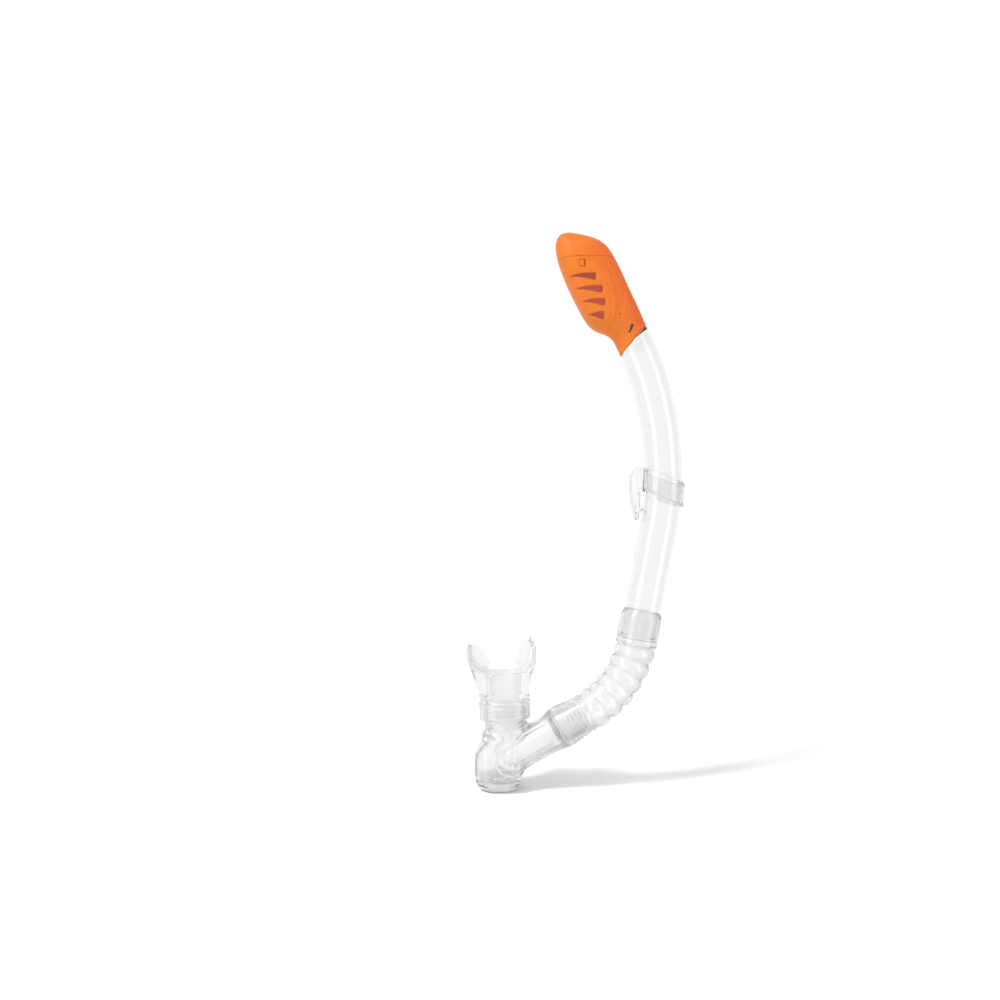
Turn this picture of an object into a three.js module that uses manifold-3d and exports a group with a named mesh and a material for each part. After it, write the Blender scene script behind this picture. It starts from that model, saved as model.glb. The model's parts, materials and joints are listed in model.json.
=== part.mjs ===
// Semi-dry snorkel: a rigid clear barrel with a slotted splash guard on top, a strap keeper that
// slides along it, a soft ribbed hose, an elbow with a one-way purge valve, and a soft mouthpiece.
// Units are millimetres, +Z is up. The origin is the centre of the purge cover's flat base, and the
// whole snorkel lies along the XZ plane, mirrored about it.
import * as THREE from 'three';
import { mergeVertices } from 'three/addons/utils/BufferGeometryUtils.js';
import Module from 'manifold-3d';

const wasm = await Module();
wasm.setup();

// ---------------------------------------------------------------- driving dimensions
const GAP = 0.3; // between pieces that touch or slide
const SIDES = 24; // of round sections
const DEG = Math.PI / 180;

// Barrel: straight at its foot, then bent forwards over the diver's head.
const BARREL = { outer: 13, inner: 11, foot: [101.75, 111.55], lean: 10.8, straight: 79 };
const BEND = { radius: 226.4, turn: -37.3 };
const BARREL_TOP = 12; // straight length past the bend, before the slanted cut

// Splash guard, in its own frame: u along its axis from the end of the barrel's bend, v backwards.
const HEAD = { top: 89.9, wall: 1.8, neckBore: 11, squareness: 2.4 };
const NECK_CUT = { u: -4.3, slope: 24 };
const PARTING = { u: 60.2 }; // where the level parting line of cap and body crosses the axis
const SLOTS = { u: 56.3, v: -22.7, pitch: 10.25, above: 1.4, below: 3.9, lengths: [18.2, 18.5, 15.8, 10.6] };
const CAP_LATCH = { u: 60.2, v: -11.2, wide: 4.2, tall: 5.2 };
const TONGUE = { wide: 5, thick: 1.5, tall: 17, u: 66, v: -10, inside: 2.1 };
const NECK_LATCH = { u: 2.9, v: -0.6, wide: 2.6, tall: 6.6, turn: 51 };
const ADAPTER = { outer: 10.45, inner: 8.8, from: -12, to: 16 };

// Soft hose: a cuff on the barrel, six convolutions round a bend, and a cuff on the elbow.
const HOSE = { top: [105.5, 131.2], upperCuff: 26.9, radius: 69.5, turn: 49.2, tail: 5.5, lowerCuff: 19.4 };
const RIB = { first: 4.8, pitch: 10.2, crest: 14.3, root: 12.9 };
const HOSE_BORE = 10.6;
const CUFF = { upper: 15.3, lowerTop: 14.2, lowerEnd: 15.8, lowerBore: 12.5 };
const BALL = { outer: 12.6, inner: 10.9, skirt: 4.7, neck: 11.2 };
const SOCKET = { outer: 14.6, inner: 12.9, lip: 0.9, from: -9 };

// Elbow: an upright chamber, an oval spigot for the mouthpiece and a round branch for the hose.
const CHAMBER = { foot: 7.9, wide: 18.2, deep: 16.6, wall: 2 };
const BRANCH = { radius: 13.2, flare: 15.7, bore: 11.2 };
const BARBS = { radius: 11.8, crest: 12.2, bore: 10, length: 16.5 }; // inside the hose's lower cuff
const SPIGOT = { wide: 15, deep: 12.4, top: 62, wall: 1.8 };

// Purge: a seat with a spider, a mushroom valve and a faceted cover.
const SEAT = { radius: 14.6, thick: 2.8, opening: 10.6, hub: 3.4, hole: 2, spoke: 1.8 };
const VALVE = { radius: 12, thick: 1.1, stem: 1.6, bulb: 2.5, bulbBottom: 12.7, bulbTop: 14.2 };
const COVER = { top: 7.6, base: 10, knee: 15, kneeZ: 4, rim: 16.8, wall: 1.9, vent: 7, ventTall: 2 };

// Mouthpiece: an oval cuff that leans forwards, a curved lip shield and two bite tabs.
const MOUTH = { lean: 0.0654, atZ: 58, atX: 4.2, cuffBottom: 51, cuffTop: 66, tabThick: 4.4 };

// Strap keeper: a slanted band round the barrel with a hook for the mask strap.
const KEEPER = { centre: [120.06, 221], band: 15.5, tall: 15.6, slant: 20, hookDeep: 7 };

const CLEAR = { color: 0xf0f2f3, roughness: 0.08, metalness: 0 };
const SOFT_CLEAR = { color: 0xf2f2f0, roughness: 0.28, metalness: 0 };
const ORANGE = { color: 0xf18848, roughness: 0.42, metalness: 0 };

// ---------------------------------------------------------------- geometry helpers
const Y_AXIS = new THREE.Vector3(0, 1, 0);

function walk({ x, z, heading, length, turn }, distance) {
  const end = heading + (turn * distance) / length;
  if (turn === 0) {
    return { x: x + distance * Math.sin(heading), z: z + distance * Math.cos(heading), heading };
  }
  const radius = length / turn;
  return {
    x: x + radius * (Math.cos(heading) - Math.cos(end)),
    z: z + radius * (Math.sin(end) - Math.sin(heading)),
    heading: end,
  };
}

// A line in the XZ plane, made of straight legs and arcs. Heading 0 is +Z, and 90 degrees is +X.
class PlanarPath extends THREE.Curve {
  constructor([x, z], headingDeg, legs) {
    super();
    this.legs = [];
    this.total = 0;
    let place = { x, z, heading: headingDeg * DEG };
    for (const { length, turn = 0 } of legs) {
      const leg = { ...place, from: this.total, length, turn: turn * DEG };
      this.legs.push(leg);
      this.total += length;
      place = walk(leg, length);
    }
  }

  // The place and heading at a distance along the line.
  at(distance) {
    const leg = this.legs.findLast((l) => distance >= l.from) ?? this.legs[0];
    return walk(leg, distance - leg.from);
  }

  getPoint(t) {
    const { x, z } = this.at(t * this.total);
    return new THREE.Vector3(x, 0, z);
  }

  // A ring of points square to the line.
  ring(distance, wide, deep = wide) {
    const { x, z, heading } = this.at(distance);
    const across = new THREE.Vector3(Math.cos(heading), 0, -Math.sin(heading));
    return ovalRing(new THREE.Vector3(x, 0, z), across, wide, deep);
  }
}

// A superellipse round a centre, spanned by the direction `across` and the Y axis.
function ovalRing(centre, across, wide, deep, squareness = 2, sides = SIDES) {
  const bulge = (value) => Math.sign(value) * Math.abs(value) ** (2 / squareness);
  return Array.from({ length: sides }, (_, i) => {
    const angle = (2 * Math.PI * (i + 0.5)) / sides;
    return centre
      .clone()
      .addScaledVector(across, wide * bulge(Math.cos(angle)))
      .addScaledVector(Y_AXIS, deep * bulge(Math.sin(angle)));
  });
}

// A level ring at height z.
function levelRing(x, z, wide, deep = wide, squareness = 2, sides = SIDES) {
  return ovalRing(new THREE.Vector3(x, 0, z), new THREE.Vector3(1, 0, 0), wide, deep, squareness, sides);
}

// A closed skin through rings of equal length, with a fan over each end.
function loft(rings) {
  const sides = rings[0].length;
  const points = rings.flat();
  const faces = [];
  for (let k = 0; k + 1 < rings.length; k += 1) {
    for (let i = 0; i < sides; i += 1) {
      const j = (i + 1) % sides;
      const [a, b, c, d] = [k * sides + i, k * sides + j, (k + 1) * sides + j, (k + 1) * sides + i];
      faces.push(a, b, c, a, c, d);
    }
  }
  const middle = (ring) => ring.reduce((sum, p) => sum.add(p), new THREE.Vector3()).divideScalar(sides);
  const last = (rings.length - 1) * sides;
  const bottom = points.push(middle(rings[0])) - 1;
  const top = points.push(middle(rings.at(-1))) - 1;
  for (let i = 0; i < sides; i += 1) {
    const j = (i + 1) % sides;
    faces.push(bottom, j, i, top, last + i, last + j);
  }
  const geometry = new THREE.BufferGeometry().setFromPoints(points);
  geometry.setIndex(faces);
  return solid(geometry);
}

// Rings along a path: stations are [distance, radius].
const sweep = (path, stations) => loft(stations.map(([distance, radius]) => path.ring(distance, radius)));

// A closed three.js geometry as a manifold solid.
function solid(geometry) {
  const bare = geometry.clone();
  bare.deleteAttribute('normal');
  bare.deleteAttribute('uv');
  const merged = mergeVertices(bare, 1e-4);
  return new wasm.Manifold(
    new wasm.Mesh({
      numProp: 3,
      vertProperties: new Float32Array(merged.attributes.position.array),
      triVerts: new Uint32Array(merged.index.array),
    }),
  );
}

const join = (first, ...others) => others.reduce((sum, other) => sum.add(other), first);
const cut = (first, ...tools) => tools.reduce((left, tool) => left.subtract(tool), first);

function block({ size, at = [0, 0, 0], turn = 0 }) {
  const geometry = new THREE.BoxGeometry(...size);
  geometry.rotateY(turn * DEG).translate(...at);
  return solid(geometry);
}

const ball = (centre, radius) => {
  const geometry = new THREE.SphereGeometry(radius, SIDES, 16);
  geometry.rotateX(Math.PI / 2).translate(centre.x, 0, centre.z);
  return solid(geometry);
};

// A drum with its axis along Z.
function drum(radius, z0, z1, sides = SIDES) {
  const geometry = new THREE.CylinderGeometry(radius, radius, z1 - z0, sides);
  geometry.rotateX(Math.PI / 2).translate(0, 0, (z0 + z1) / 2);
  return solid(geometry);
}

// An outline in the XZ plane, drawn as [x, z], pulled out to both sides along Y.
function plate(outline, thick) {
  const shape = new THREE.Shape(outline.map(([x, z]) => new THREE.Vector2(x, z)));
  const geometry = new THREE.ExtrudeGeometry(shape, { depth: thick, bevelEnabled: false });
  geometry.rotateX(Math.PI / 2).translate(0, thick / 2, 0);
  return solid(geometry);
}

// A smooth outline through a few points, as [x, z] pairs.
function smooth(points, steps) {
  const curve = new THREE.SplineCurve(points.map(([x, z]) => new THREE.Vector2(x, z)));
  return curve.getPoints(steps).map((p) => [p.x, p.y]);
}

// The value of a smooth curve through [position, value] pairs.
function profile(pairs) {
  return (at) => {
    const last = pairs.length - 1;
    const k = Math.min(Math.max(pairs.findIndex(([x]) => x > at) - 1, 0), last - 1);
    const start = at >= pairs[last][0] ? last - 1 : k;
    const slope = (i) => {
      const [low, high] = [Math.max(i - 1, 0), Math.min(i + 1, last)];
      return (pairs[high][1] - pairs[low][1]) / (pairs[high][0] - pairs[low][0]);
    };
    const [[x0, y0], [x1, y1]] = [pairs[start], pairs[start + 1]];
    const span = x1 - x0;
    const t = THREE.MathUtils.clamp((at - x0) / span, 0, 1);
    const [t2, t3] = [t * t, t * t * t];
    return (
      (2 * t3 - 3 * t2 + 1) * y0 +
      (t3 - 2 * t2 + t) * span * slope(start) +
      (3 * t2 - 2 * t3) * y1 +
      (t3 - t2) * span * slope(start + 1)
    );
  };
}

function toMesh(name, part, look) {
  const { vertProperties, triVerts } = part.getMesh();
  const geometry = new THREE.BufferGeometry();
  geometry.setAttribute('position', new THREE.BufferAttribute(new Float32Array(vertProperties), 3));
  geometry.setIndex(new THREE.BufferAttribute(new Uint32Array(triVerts), 1));
  geometry.computeVertexNormals();
  const mesh = new THREE.Mesh(geometry, new THREE.MeshStandardMaterial(look));
  mesh.name = name;
  return mesh;
}

// ---------------------------------------------------------------- paths
const bendLength = BEND.radius * Math.abs(BEND.turn) * DEG;
const barrelPath = new PlanarPath(BARREL.foot, BARREL.lean, [
  { length: BARREL.straight },
  { length: bendLength, turn: BEND.turn },
  { length: BARREL_TOP },
]);
const headPlace = barrelPath.at(BARREL.straight + bendLength);
const headLean = headPlace.heading / DEG; // negative: the head leans towards -X

const hoseBend = HOSE.radius * HOSE.turn * DEG;
const hosePath = new PlanarPath(HOSE.top, 180 + BARREL.lean, [
  { length: HOSE.upperCuff },
  { length: hoseBend, turn: HOSE.turn },
  { length: HOSE.tail + HOSE.lowerCuff },
]);
const hoseMiddle = HOSE.upperCuff + hoseBend / 2;
const lowerCuffStart = hosePath.total - HOSE.lowerCuff;
const flexPoint = hosePath.at(hoseMiddle);

// ---------------------------------------------------------------- barrel
function barrelTube() {
  const section = new THREE.Shape().absarc(0, 0, BARREL.outer, 0, 2 * Math.PI);
  section.holes.push(new THREE.Path().absarc(0, 0, BARREL.inner, 0, 2 * Math.PI, true));
  const tube = solid(
    new THREE.ExtrudeGeometry(section, { extrudePath: barrelPath, steps: 20, curveSegments: SIDES / 2 }),
  );
  return cut(tube, neckCutter(-GAP, 1));
}

// The half space below (side -1) or above (side 1) the guard's slanted lower edge, in world axes.
function neckCutter(shift, side) {
  const size = 60;
  const half = (side * size) / 2;
  const slope = NECK_CUT.slope;
  const inHead = block({
    size: [size, size, size],
    at: [-half * Math.sin(slope * DEG), 0, NECK_CUT.u + shift + half * Math.cos(slope * DEG)],
    turn: -slope,
  });
  return side > 0 ? headToWorld(inHead) : inHead;
}

function headToWorld(part) {
  return part.rotate([0, headLean, 0]).translate([headPlace.x, 0, headPlace.z]);
}

// ---------------------------------------------------------------- splash guard (head frame: X is v, Z is u)
const headFront = profile([
  [-14, -13.3],
  [3, -13.3],
  [8.5, -15.3],
  [15.1, -21.4],
  [20.1, -23.8],
  [28, -25.2],
  [47.3, -25.5],
  [62, -24.8],
  [72, -23.7],
  [79.5, -22],
  [84.6, -19.8],
  [88.2, -16.6],
  [89.9, -13.8],
]);
const headBack = profile([
  [-14, 13.3],
  [4, 13.5],
  [14, 13.7],
  [30, 13.8],
  [45, 14.3],
  [58, 14.2],
  [66.2, 12.9],
  [72.6, 10],
  [77.8, 5.7],
  [82.5, 0.7],
  [86, -3.8],
  [89.9, -10],
]);
const headDepth = profile([
  [-14, 13.3],
  [4, 13.4],
  [14, 14.4],
  [30, 15.2],
  [62, 15.2],
  [72, 14.2],
  [81, 11.4],
  [87, 7.2],
  [89.9, 3.6],
]);
const BULB_STATIONS = [9, 13, 18, 24, 34, 48, 60, 68, 75, 81, 86];

function headSkin(inset, stations) {
  return loft(
    stations.map((u) => {
      const [front, back] = [headFront(u) + inset, headBack(u) - inset];
      const round = u < 5 ? 2 : HEAD.squareness;
      return levelRing((front + back) / 2, u, (back - front) / 2, headDepth(u) - inset, round);
    }),
  );
}

function headHollow() {
  return join(headSkin(HEAD.wall, [7, ...BULB_STATIONS]), drum(HEAD.neckBore, -20, 12));
}

const headOutside = () => headSkin(0, [-14, 0, 5, ...BULB_STATIONS, HEAD.top]);

// A block that fills everything above the level parting line, in the head frame.
function abovePartingLine(shift) {
  const size = 120;
  const lean = -headLean * DEG;
  const reach = size / 2 + shift;
  return block({
    size: [size, size, size],
    at: [reach * Math.sin(lean), 0, PARTING.u + reach * Math.cos(lean)],
    turn: -headLean,
  });
}

// Level, tapered slots through both sides of the belly.
function guardSlots() {
  return SLOTS.lengths.map((length, i) => {
    const round = 1;
    const outline = [
      [0, 0],
      [length * 0.45, -SLOTS.below * 0.42],
      [length - round, -SLOTS.below],
      [length, round - SLOTS.below],
      [length, SLOTS.above - round],
      [length - round, SLOTS.above],
      [length * 0.45, SLOTS.above * 0.8],
    ];
    return plate(outline, 60).rotate([0, -headLean, 0]).translate([SLOTS.v, 0, SLOTS.u - i * SLOTS.pitch]);
  });
}

const capWindow = (grow, depth) =>
  block({
    size: [CAP_LATCH.wide + grow, depth, CAP_LATCH.tall + grow],
    at: [CAP_LATCH.v, 0, CAP_LATCH.u],
    turn: -headLean,
  });
const neckWindow = (grow, depth) =>
  block({
    size: [NECK_LATCH.wide + grow, depth, NECK_LATCH.tall + grow],
    at: [NECK_LATCH.v, 0, NECK_LATCH.u],
    turn: NECK_LATCH.turn,
  });

function guardBody() {
  return cut(
    headOutside(),
    headHollow(),
    neckCutter(0, -1),
    abovePartingLine(0),
    capWindow(0, 60),
    neckWindow(0, 60),
    ...guardSlots(),
  );
}

function guardCap() {
  const shell = cut(headOutside(), headHollow()).intersect(abovePartingLine(GAP));
  const tongueY = headDepth(CAP_LATCH.u) - HEAD.wall - TONGUE.inside;
  const tongues = [-1, 1].map((side) =>
    block({
      size: [TONGUE.wide, TONGUE.thick, TONGUE.tall],
      at: [TONGUE.v, side * tongueY, TONGUE.u],
    }),
  );
  const bumps = capWindow(-2 * GAP, 2 * headDepth(CAP_LATCH.u) - 2 * GAP);
  const betweenTongues = block({ size: [20, 2 * tongueY, 20], at: [CAP_LATCH.v, 0, CAP_LATCH.u] });
  return join(shell, ...tongues, cut(bumps, betweenTongues));
}

// A clear sleeve inside the top of the barrel, with a snap lug on each side for the guard.
function guardAdapter() {
  const bore = drum(ADAPTER.inner, ADAPTER.from - 1, ADAPTER.to + 1);
  const sleeve = cut(drum(ADAPTER.outer, ADAPTER.from, ADAPTER.to), bore);
  const lugs = cut(neckWindow(-2 * GAP, 2 * BARREL.outer - 0.2), drum(ADAPTER.inner + 0.5, -5, 15));
  return join(sleeve, lugs);
}

// A thin web that stops water from crossing the belly, on a curved wall that shields the air way.
function splashBaffle() {
  const wallThick = 1.4;
  const wallLine = smooth([[-7.2, 19], [-2.6, 24], [1.6, 34], [3, 48], [2, 60]], 8);
  const shifted = (by) => wallLine.map(([v, u]) => [v + by, u]);
  const wall = plate([...wallLine, ...shifted(wallThick).reverse()], 23.6);
  const belly = wallLine.map(([, u]) => [headFront(u) + HEAD.wall + 0.5, u]);
  const web = plate([...belly, ...shifted(wallThick / 2).reverse()], 1.6);
  return join(wall, web);
}

// ---------------------------------------------------------------- hose
// Half a turn of each convolution: crests stand out between roots.
function ribStations(from, to) {
  const stations = [];
  for (let i = 0; i < 6; i += 1) {
    const crest = HOSE.upperCuff + RIB.first + i * RIB.pitch;
    if (crest > from && crest < to) {
      const half = RIB.pitch / 2;
      stations.push([crest - half + 1, RIB.root], [crest - 2.2, RIB.crest - 0.2]);
      stations.push([crest + 2.2, RIB.crest - 0.2], [crest + half - 1, RIB.root]);
    }
  }
  return stations;
}

// The slab of space between two distances along the hose's direction at its flex point.
function flexSlab(from, to) {
  const size = 50;
  const { x, z, heading } = flexPoint;
  const middle = (from + to) / 2;
  return block({
    size: [size, size, to - from],
    at: [x + middle * Math.sin(heading), 0, z + middle * Math.cos(heading)],
    turn: heading / DEG,
  });
}

function hoseUpper() {
  const outside = sweep(hosePath, [
    [0, CUFF.upper - 1.5],
    [1.6, CUFF.upper],
    [HOSE.upperCuff - 1, CUFF.upper],
    [HOSE.upperCuff, RIB.root + 0.6],
    ...ribStations(HOSE.upperCuff, hoseMiddle).slice(1),
  ]);
  const socket = ball(flexPoint, SOCKET.outer).intersect(flexSlab(SOCKET.from, SOCKET.lip));
  const bore = sweep(hosePath, [[HOSE.upperCuff - 8, HOSE_BORE], [40, HOSE_BORE], [hoseMiddle, HOSE_BORE]]);
  const barrelRoom = sweep(hosePath, [[-2, BARREL.outer + GAP], [20.5, BARREL.outer + GAP]]);
  return cut(join(outside, socket), bore, barrelRoom, ball(flexPoint, SOCKET.inner));
}

function hoseLower() {
  const neckEnd = hoseMiddle + 9.6;
  const outside = sweep(hosePath, [
    [hoseMiddle + 6, BALL.neck],
    [neckEnd, BALL.neck],
    [neckEnd + 0.5, RIB.root],
    ...ribStations(hoseMiddle + 10, lowerCuffStart).slice(1),
    [lowerCuffStart - 0.5, RIB.root + 0.3],
    [lowerCuffStart, CUFF.lowerTop],
    [hosePath.total, CUFF.lowerEnd],
  ]);
  const socketBall = ball(flexPoint, BALL.outer).intersect(flexSlab(-BALL.skirt, 14));
  const bore = sweep(hosePath, [[hoseMiddle + 3, 10], [hoseMiddle + 16, 10], [lowerCuffStart + 3, 10]]);
  const elbowRoom = sweep(hosePath, [
    [lowerCuffStart + 2.2, CUFF.lowerBore],
    [hosePath.total + 2, CUFF.lowerBore],
  ]);
  return cut(join(outside, socketBall), bore, elbowRoom, ball(flexPoint, BALL.inner));
}

// ---------------------------------------------------------------- elbow
const cuffEnd = hosePath.at(hosePath.total);
// The branch runs on from the end of the lower cuff into the chamber.
const branchPath = new PlanarPath([cuffEnd.x, cuffEnd.z], 180 + BARREL.lean + HOSE.turn, [{ length: 50 }]);
const mouthX = (z) => MOUTH.atX - MOUTH.lean * (z - MOUTH.atZ);

function elbowBody() {
  const chamber = loft([
    levelRing(0, CHAMBER.foot, 17, 16.2, 2.1),
    levelRing(0, 10.5, CHAMBER.wide, CHAMBER.deep, 2.3),
    levelRing(0, 26.5, CHAMBER.wide, CHAMBER.deep, 2.3),
    levelRing(3.6, 37.5, SPIGOT.wide + 0.9, SPIGOT.deep + 0.6),
    levelRing(mouthX(50), 50, SPIGOT.wide, SPIGOT.deep),
    levelRing(mouthX(SPIGOT.top), SPIGOT.top, SPIGOT.wide, SPIGOT.deep),
  ]);
  const branch = sweep(branchPath, [
    [GAP, BRANCH.flare],
    [3.5, BRANCH.flare - 0.6],
    [9, 14.2],
    [17, BRANCH.radius],
    [44, BRANCH.radius],
  ]);
  const barbs = [[-BARBS.length, BARBS.radius - 0.8]];
  for (let at = -14; at <= -2; at += 4) {
    barbs.push([at, BARBS.crest], [at + 0.6, BARBS.radius]);
  }
  const hoseSpigot = sweep(branchPath, [...barbs, [5, BARBS.radius]]);
  const hollow = loft([
    levelRing(0, 11.5, 14.9),
    levelRing(0, 13, CHAMBER.wide - CHAMBER.wall, CHAMBER.deep - CHAMBER.wall, 2.3),
    levelRing(0, 26, CHAMBER.wide - CHAMBER.wall, CHAMBER.deep - CHAMBER.wall, 2.3),
    levelRing(3.6, 37, SPIGOT.wide - 1, SPIGOT.deep - SPIGOT.wall),
    levelRing(mouthX(70), 70, SPIGOT.wide - SPIGOT.wall, SPIGOT.deep - SPIGOT.wall),
  ]);
  const branchBore = sweep(branchPath, [
    [-20, BARBS.bore],
    [2, BARBS.bore],
    [8, BRANCH.bore],
    [42, BRANCH.bore],
  ]);
  // Keep the branch's own wall out of the chamber's hollow.
  return cut(join(chamber, branch, hoseSpigot), hollow, branchBore, drum(SEAT.radius + GAP, 0, 12));
}

// ---------------------------------------------------------------- purge valve
function purgeSeat() {
  const z0 = CHAMBER.foot;
  const z1 = z0 + SEAT.thick;
  const ringPart = cut(drum(SEAT.radius, z0, z1), drum(SEAT.opening, z0 - 1, z1 + 1));
  const spoke = block({
    size: [2 * SEAT.opening + 2, SEAT.spoke, SEAT.thick - 0.8],
    at: [0, 0, z0 + SEAT.thick / 2 + 0.4],
  });
  const spokes = [0, 60, 120].map((angle) => spoke.rotate([0, 0, angle]));
  return cut(join(ringPart, drum(SEAT.hub, z0 + 0.6, z1), ...spokes), drum(SEAT.hole, z0 - 1, z1 + 1));
}

function purgeValve() {
  const top = CHAMBER.foot - GAP;
  const outline = [
    [0, top - VALVE.thick - 0.5],
    [VALVE.radius * 0.35, top - VALVE.thick - 0.3],
    [VALVE.radius, top - VALVE.thick * 0.5],
    [VALVE.radius, top],
    [VALVE.stem, top],
    [VALVE.stem, VALVE.bulbBottom],
    [VALVE.bulb, VALVE.bulbBottom],
    [VALVE.stem, VALVE.bulbTop],
    [0, VALVE.bulbTop],
  ];
  const geometry = new THREE.LatheGeometry(outline.map(([r, z]) => new THREE.Vector2(r, z)), SIDES);
  geometry.rotateX(Math.PI / 2);
  return solid(geometry);
}

// An eight-sided dish with a flat base. Vents in the four corner facets let the water out.
function purgeCover() {
  const facet = (z, half) => {
    const corner = half / Math.cos(Math.PI / 8);
    return levelRing(0, z, corner, corner, 2, 8);
  };
  const outside = loft([facet(0, COVER.base), facet(COVER.kneeZ, COVER.knee), facet(COVER.top, COVER.rim)]);
  const inside = loft([
    facet(COVER.wall, COVER.base - 0.6),
    facet(COVER.kneeZ + 0.6, COVER.knee - COVER.wall),
    facet(COVER.top + 1, COVER.rim - COVER.wall + 0.3),
  ]);
  const vents = [45, 135].map((angle) =>
    block({ size: [60, COVER.vent, COVER.ventTall], at: [0, 0, COVER.kneeZ + 1.2] }).rotate([0, 0, angle]),
  );
  return cut(outside, inside, ...vents);
}

// ---------------------------------------------------------------- mouthpiece
const LEFT_TAB = [
  [-21.5, 105.5], [-14, 105.1], [-11.6, 102.8], [-10.5, 99.5],
  [-6.6, 92.4], [-7.2, 89], [-10, 86], [-19, 86],
];
const RIGHT_TAB = [
  [23.5, 109], [16, 108.4], [14.2, 105.6], [13.6, 99.7],
  [10.7, 92.4], [15, 89.2], [16, 86], [21.5, 86],
];
const SHIELD_OUTSIDE = [
  [-21.7, 108.4], [-23.5, 100.7], [-20.6, 87.5], [-14.7, 72.8], [4, 68],
  [21.8, 73], [23.8, 84], [26.8, 98.5], [23.4, 112.2],
];
const SHIELD_INSIDE = [
  [22, 111], [24.4, 98.5], [20.6, 88.6], [10, 86.2], [0.7, 84.6],
  [-9.5, 86.4], [-17.6, 90], [-21, 100], [-20.4, 107.2],
];
const SHIELD_SIDE = [[14.4, 66], [15.2, 76], [16.8, 86], [15.6, 97], [11.5, 106], [4.5, 111.8], [0, 112.6]];

// The lip shield's section: out along the outside from tip to tip, and back along its inner face.
const shieldSection = () => [...smooth(SHIELD_OUTSIDE, 24), ...smooth(SHIELD_INSIDE, 20)];

// The shield seen from the side: widest at its floor, and rounded off at the wing tips.
function shieldSide() {
  const right = smooth(SHIELD_SIDE, 14);
  const left = right.slice(0, -1).reverse().map(([y, z]) => [-y, z]);
  return plate([...right, ...left], 80).rotate([0, 0, 90]);
}

function mouthpiece() {
  const section = (z, wide, deep) => levelRing(mouthX(z), z, wide, deep, 2.2);
  const body = loft([
    section(MOUTH.cuffBottom, 18, 14.6),
    section(MOUTH.cuffBottom + 1.2, 18.6, 15.2),
    section(MOUTH.cuffTop, 18.8, 15.2),
    section(MOUTH.cuffTop + 1, 17.9, 14.6),
    section(76, 17.6, 14.8),
    section(84, 19, 15.6),
  ]);
  const shield = plate(shieldSection(), 60).intersect(shieldSide());
  const tabs = [LEFT_TAB, RIGHT_TAB].map((outline) => plate(outline, MOUTH.tabThick));
  const spigotRoom = loft([
    levelRing(mouthX(40), 40, SPIGOT.wide + 0.5, SPIGOT.deep + 0.5),
    levelRing(mouthX(63), 63, SPIGOT.wide + 0.5, SPIGOT.deep + 0.5),
  ]);
  const throat = loft([section(60, 12.6, 9.8), section(76, 12.4, 9.6), section(95, 12.6, 9.8)]);
  return join(cut(join(body, shield), spigotRoom, throat), ...tabs);
}

// ---------------------------------------------------------------- strap keeper
// Its frame is centred on the barrel. The hook's outline runs from its top down the far side and
// back up past the barb and the gap for the strap.
const HOOK_TOP = [
  [-15.2, 11.6], [-16.6, 14.9], [-19.4, 15], [-23, 11.4], [-23.8, 4], [-23.4, -8],
  [-21.8, -17.6], [-20.4, -23.2], [-18, -23.2], [-17, -18.6],
];
const HOOK_BARB = [[-14, -16.6], [-14, -15], [-16.6, -14.2], [-16.1, -3.2]];
const KNUCKLE = [[-12, -3.2], [-16.5, -3.2], [-16.5, 13.6], [-12, 13]];

// The barrel's bend as it passes the keeper.
function keeperBore(radius) {
  const { x, z } = barrelPath.at(BARREL.straight);
  const lean = BARREL.lean * DEG;
  const centreX = x - BEND.radius * Math.cos(lean) - KEEPER.centre[0];
  const centreZ = z + BEND.radius * Math.sin(lean) - KEEPER.centre[1];
  const half = 10 * DEG;
  const middle = Math.atan2(-centreZ, -centreX);
  const start = middle - half;
  const from = [centreX + BEND.radius * Math.cos(start), centreZ + BEND.radius * Math.sin(start)];
  const bend = { length: 2 * half * BEND.radius, turn: (-2 * half) / DEG };
  const path = new PlanarPath(from, -start / DEG, [bend]);
  const steps = [0, 0.25, 0.4, 0.5, 0.6, 0.75, 1];
  return sweep(path, steps.map((t) => [t * path.total, radius]));
}

function strapKeeper() {
  const slab = block({ size: [60, 60, KEEPER.tall], turn: KEEPER.slant });
  const band = keeperBore(KEEPER.band).intersect(slab);
  const bar = plate([...smooth(HOOK_TOP, 22), ...HOOK_BARB], 2 * KEEPER.hookDeep);
  const knuckle = plate(KNUCKLE, 1.5 * KEEPER.hookDeep);
  return cut(join(band, bar, knuckle), keeperBore(BARREL.outer + GAP));
}

// ---------------------------------------------------------------- assembly
const head = new THREE.Group();
head.position.set(headPlace.x, 0, headPlace.z);
head.rotation.y = headLean * DEG;
head.add(
  toMesh('splash_guard_body', guardBody(), ORANGE),
  toMesh('splash_guard_cap', guardCap(), ORANGE),
  toMesh('splash_baffle', splashBaffle(), ORANGE),
  toMesh('guard_adapter', guardAdapter(), CLEAR),
);

const keeper = new THREE.Group();
keeper.position.set(KEEPER.centre[0], 0, KEEPER.centre[1]);
keeper.add(toMesh('strap_keeper', strapKeeper(), SOFT_CLEAR));

const snorkel = new THREE.Group();
snorkel.add(
  head,
  keeper,
  toMesh('barrel_tube', barrelTube(), CLEAR),
  toMesh('hose_upper', hoseUpper(), SOFT_CLEAR),
  toMesh('hose_lower', hoseLower(), SOFT_CLEAR),
  toMesh('elbow_body', elbowBody(), CLEAR),
  toMesh('purge_seat', purgeSeat(), CLEAR),
  toMesh('purge_valve', purgeValve(), SOFT_CLEAR),
  toMesh('purge_cover', purgeCover(), CLEAR),
  toMesh('mouthpiece', mouthpiece(), SOFT_CLEAR),
);

export default snorkel;
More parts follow.
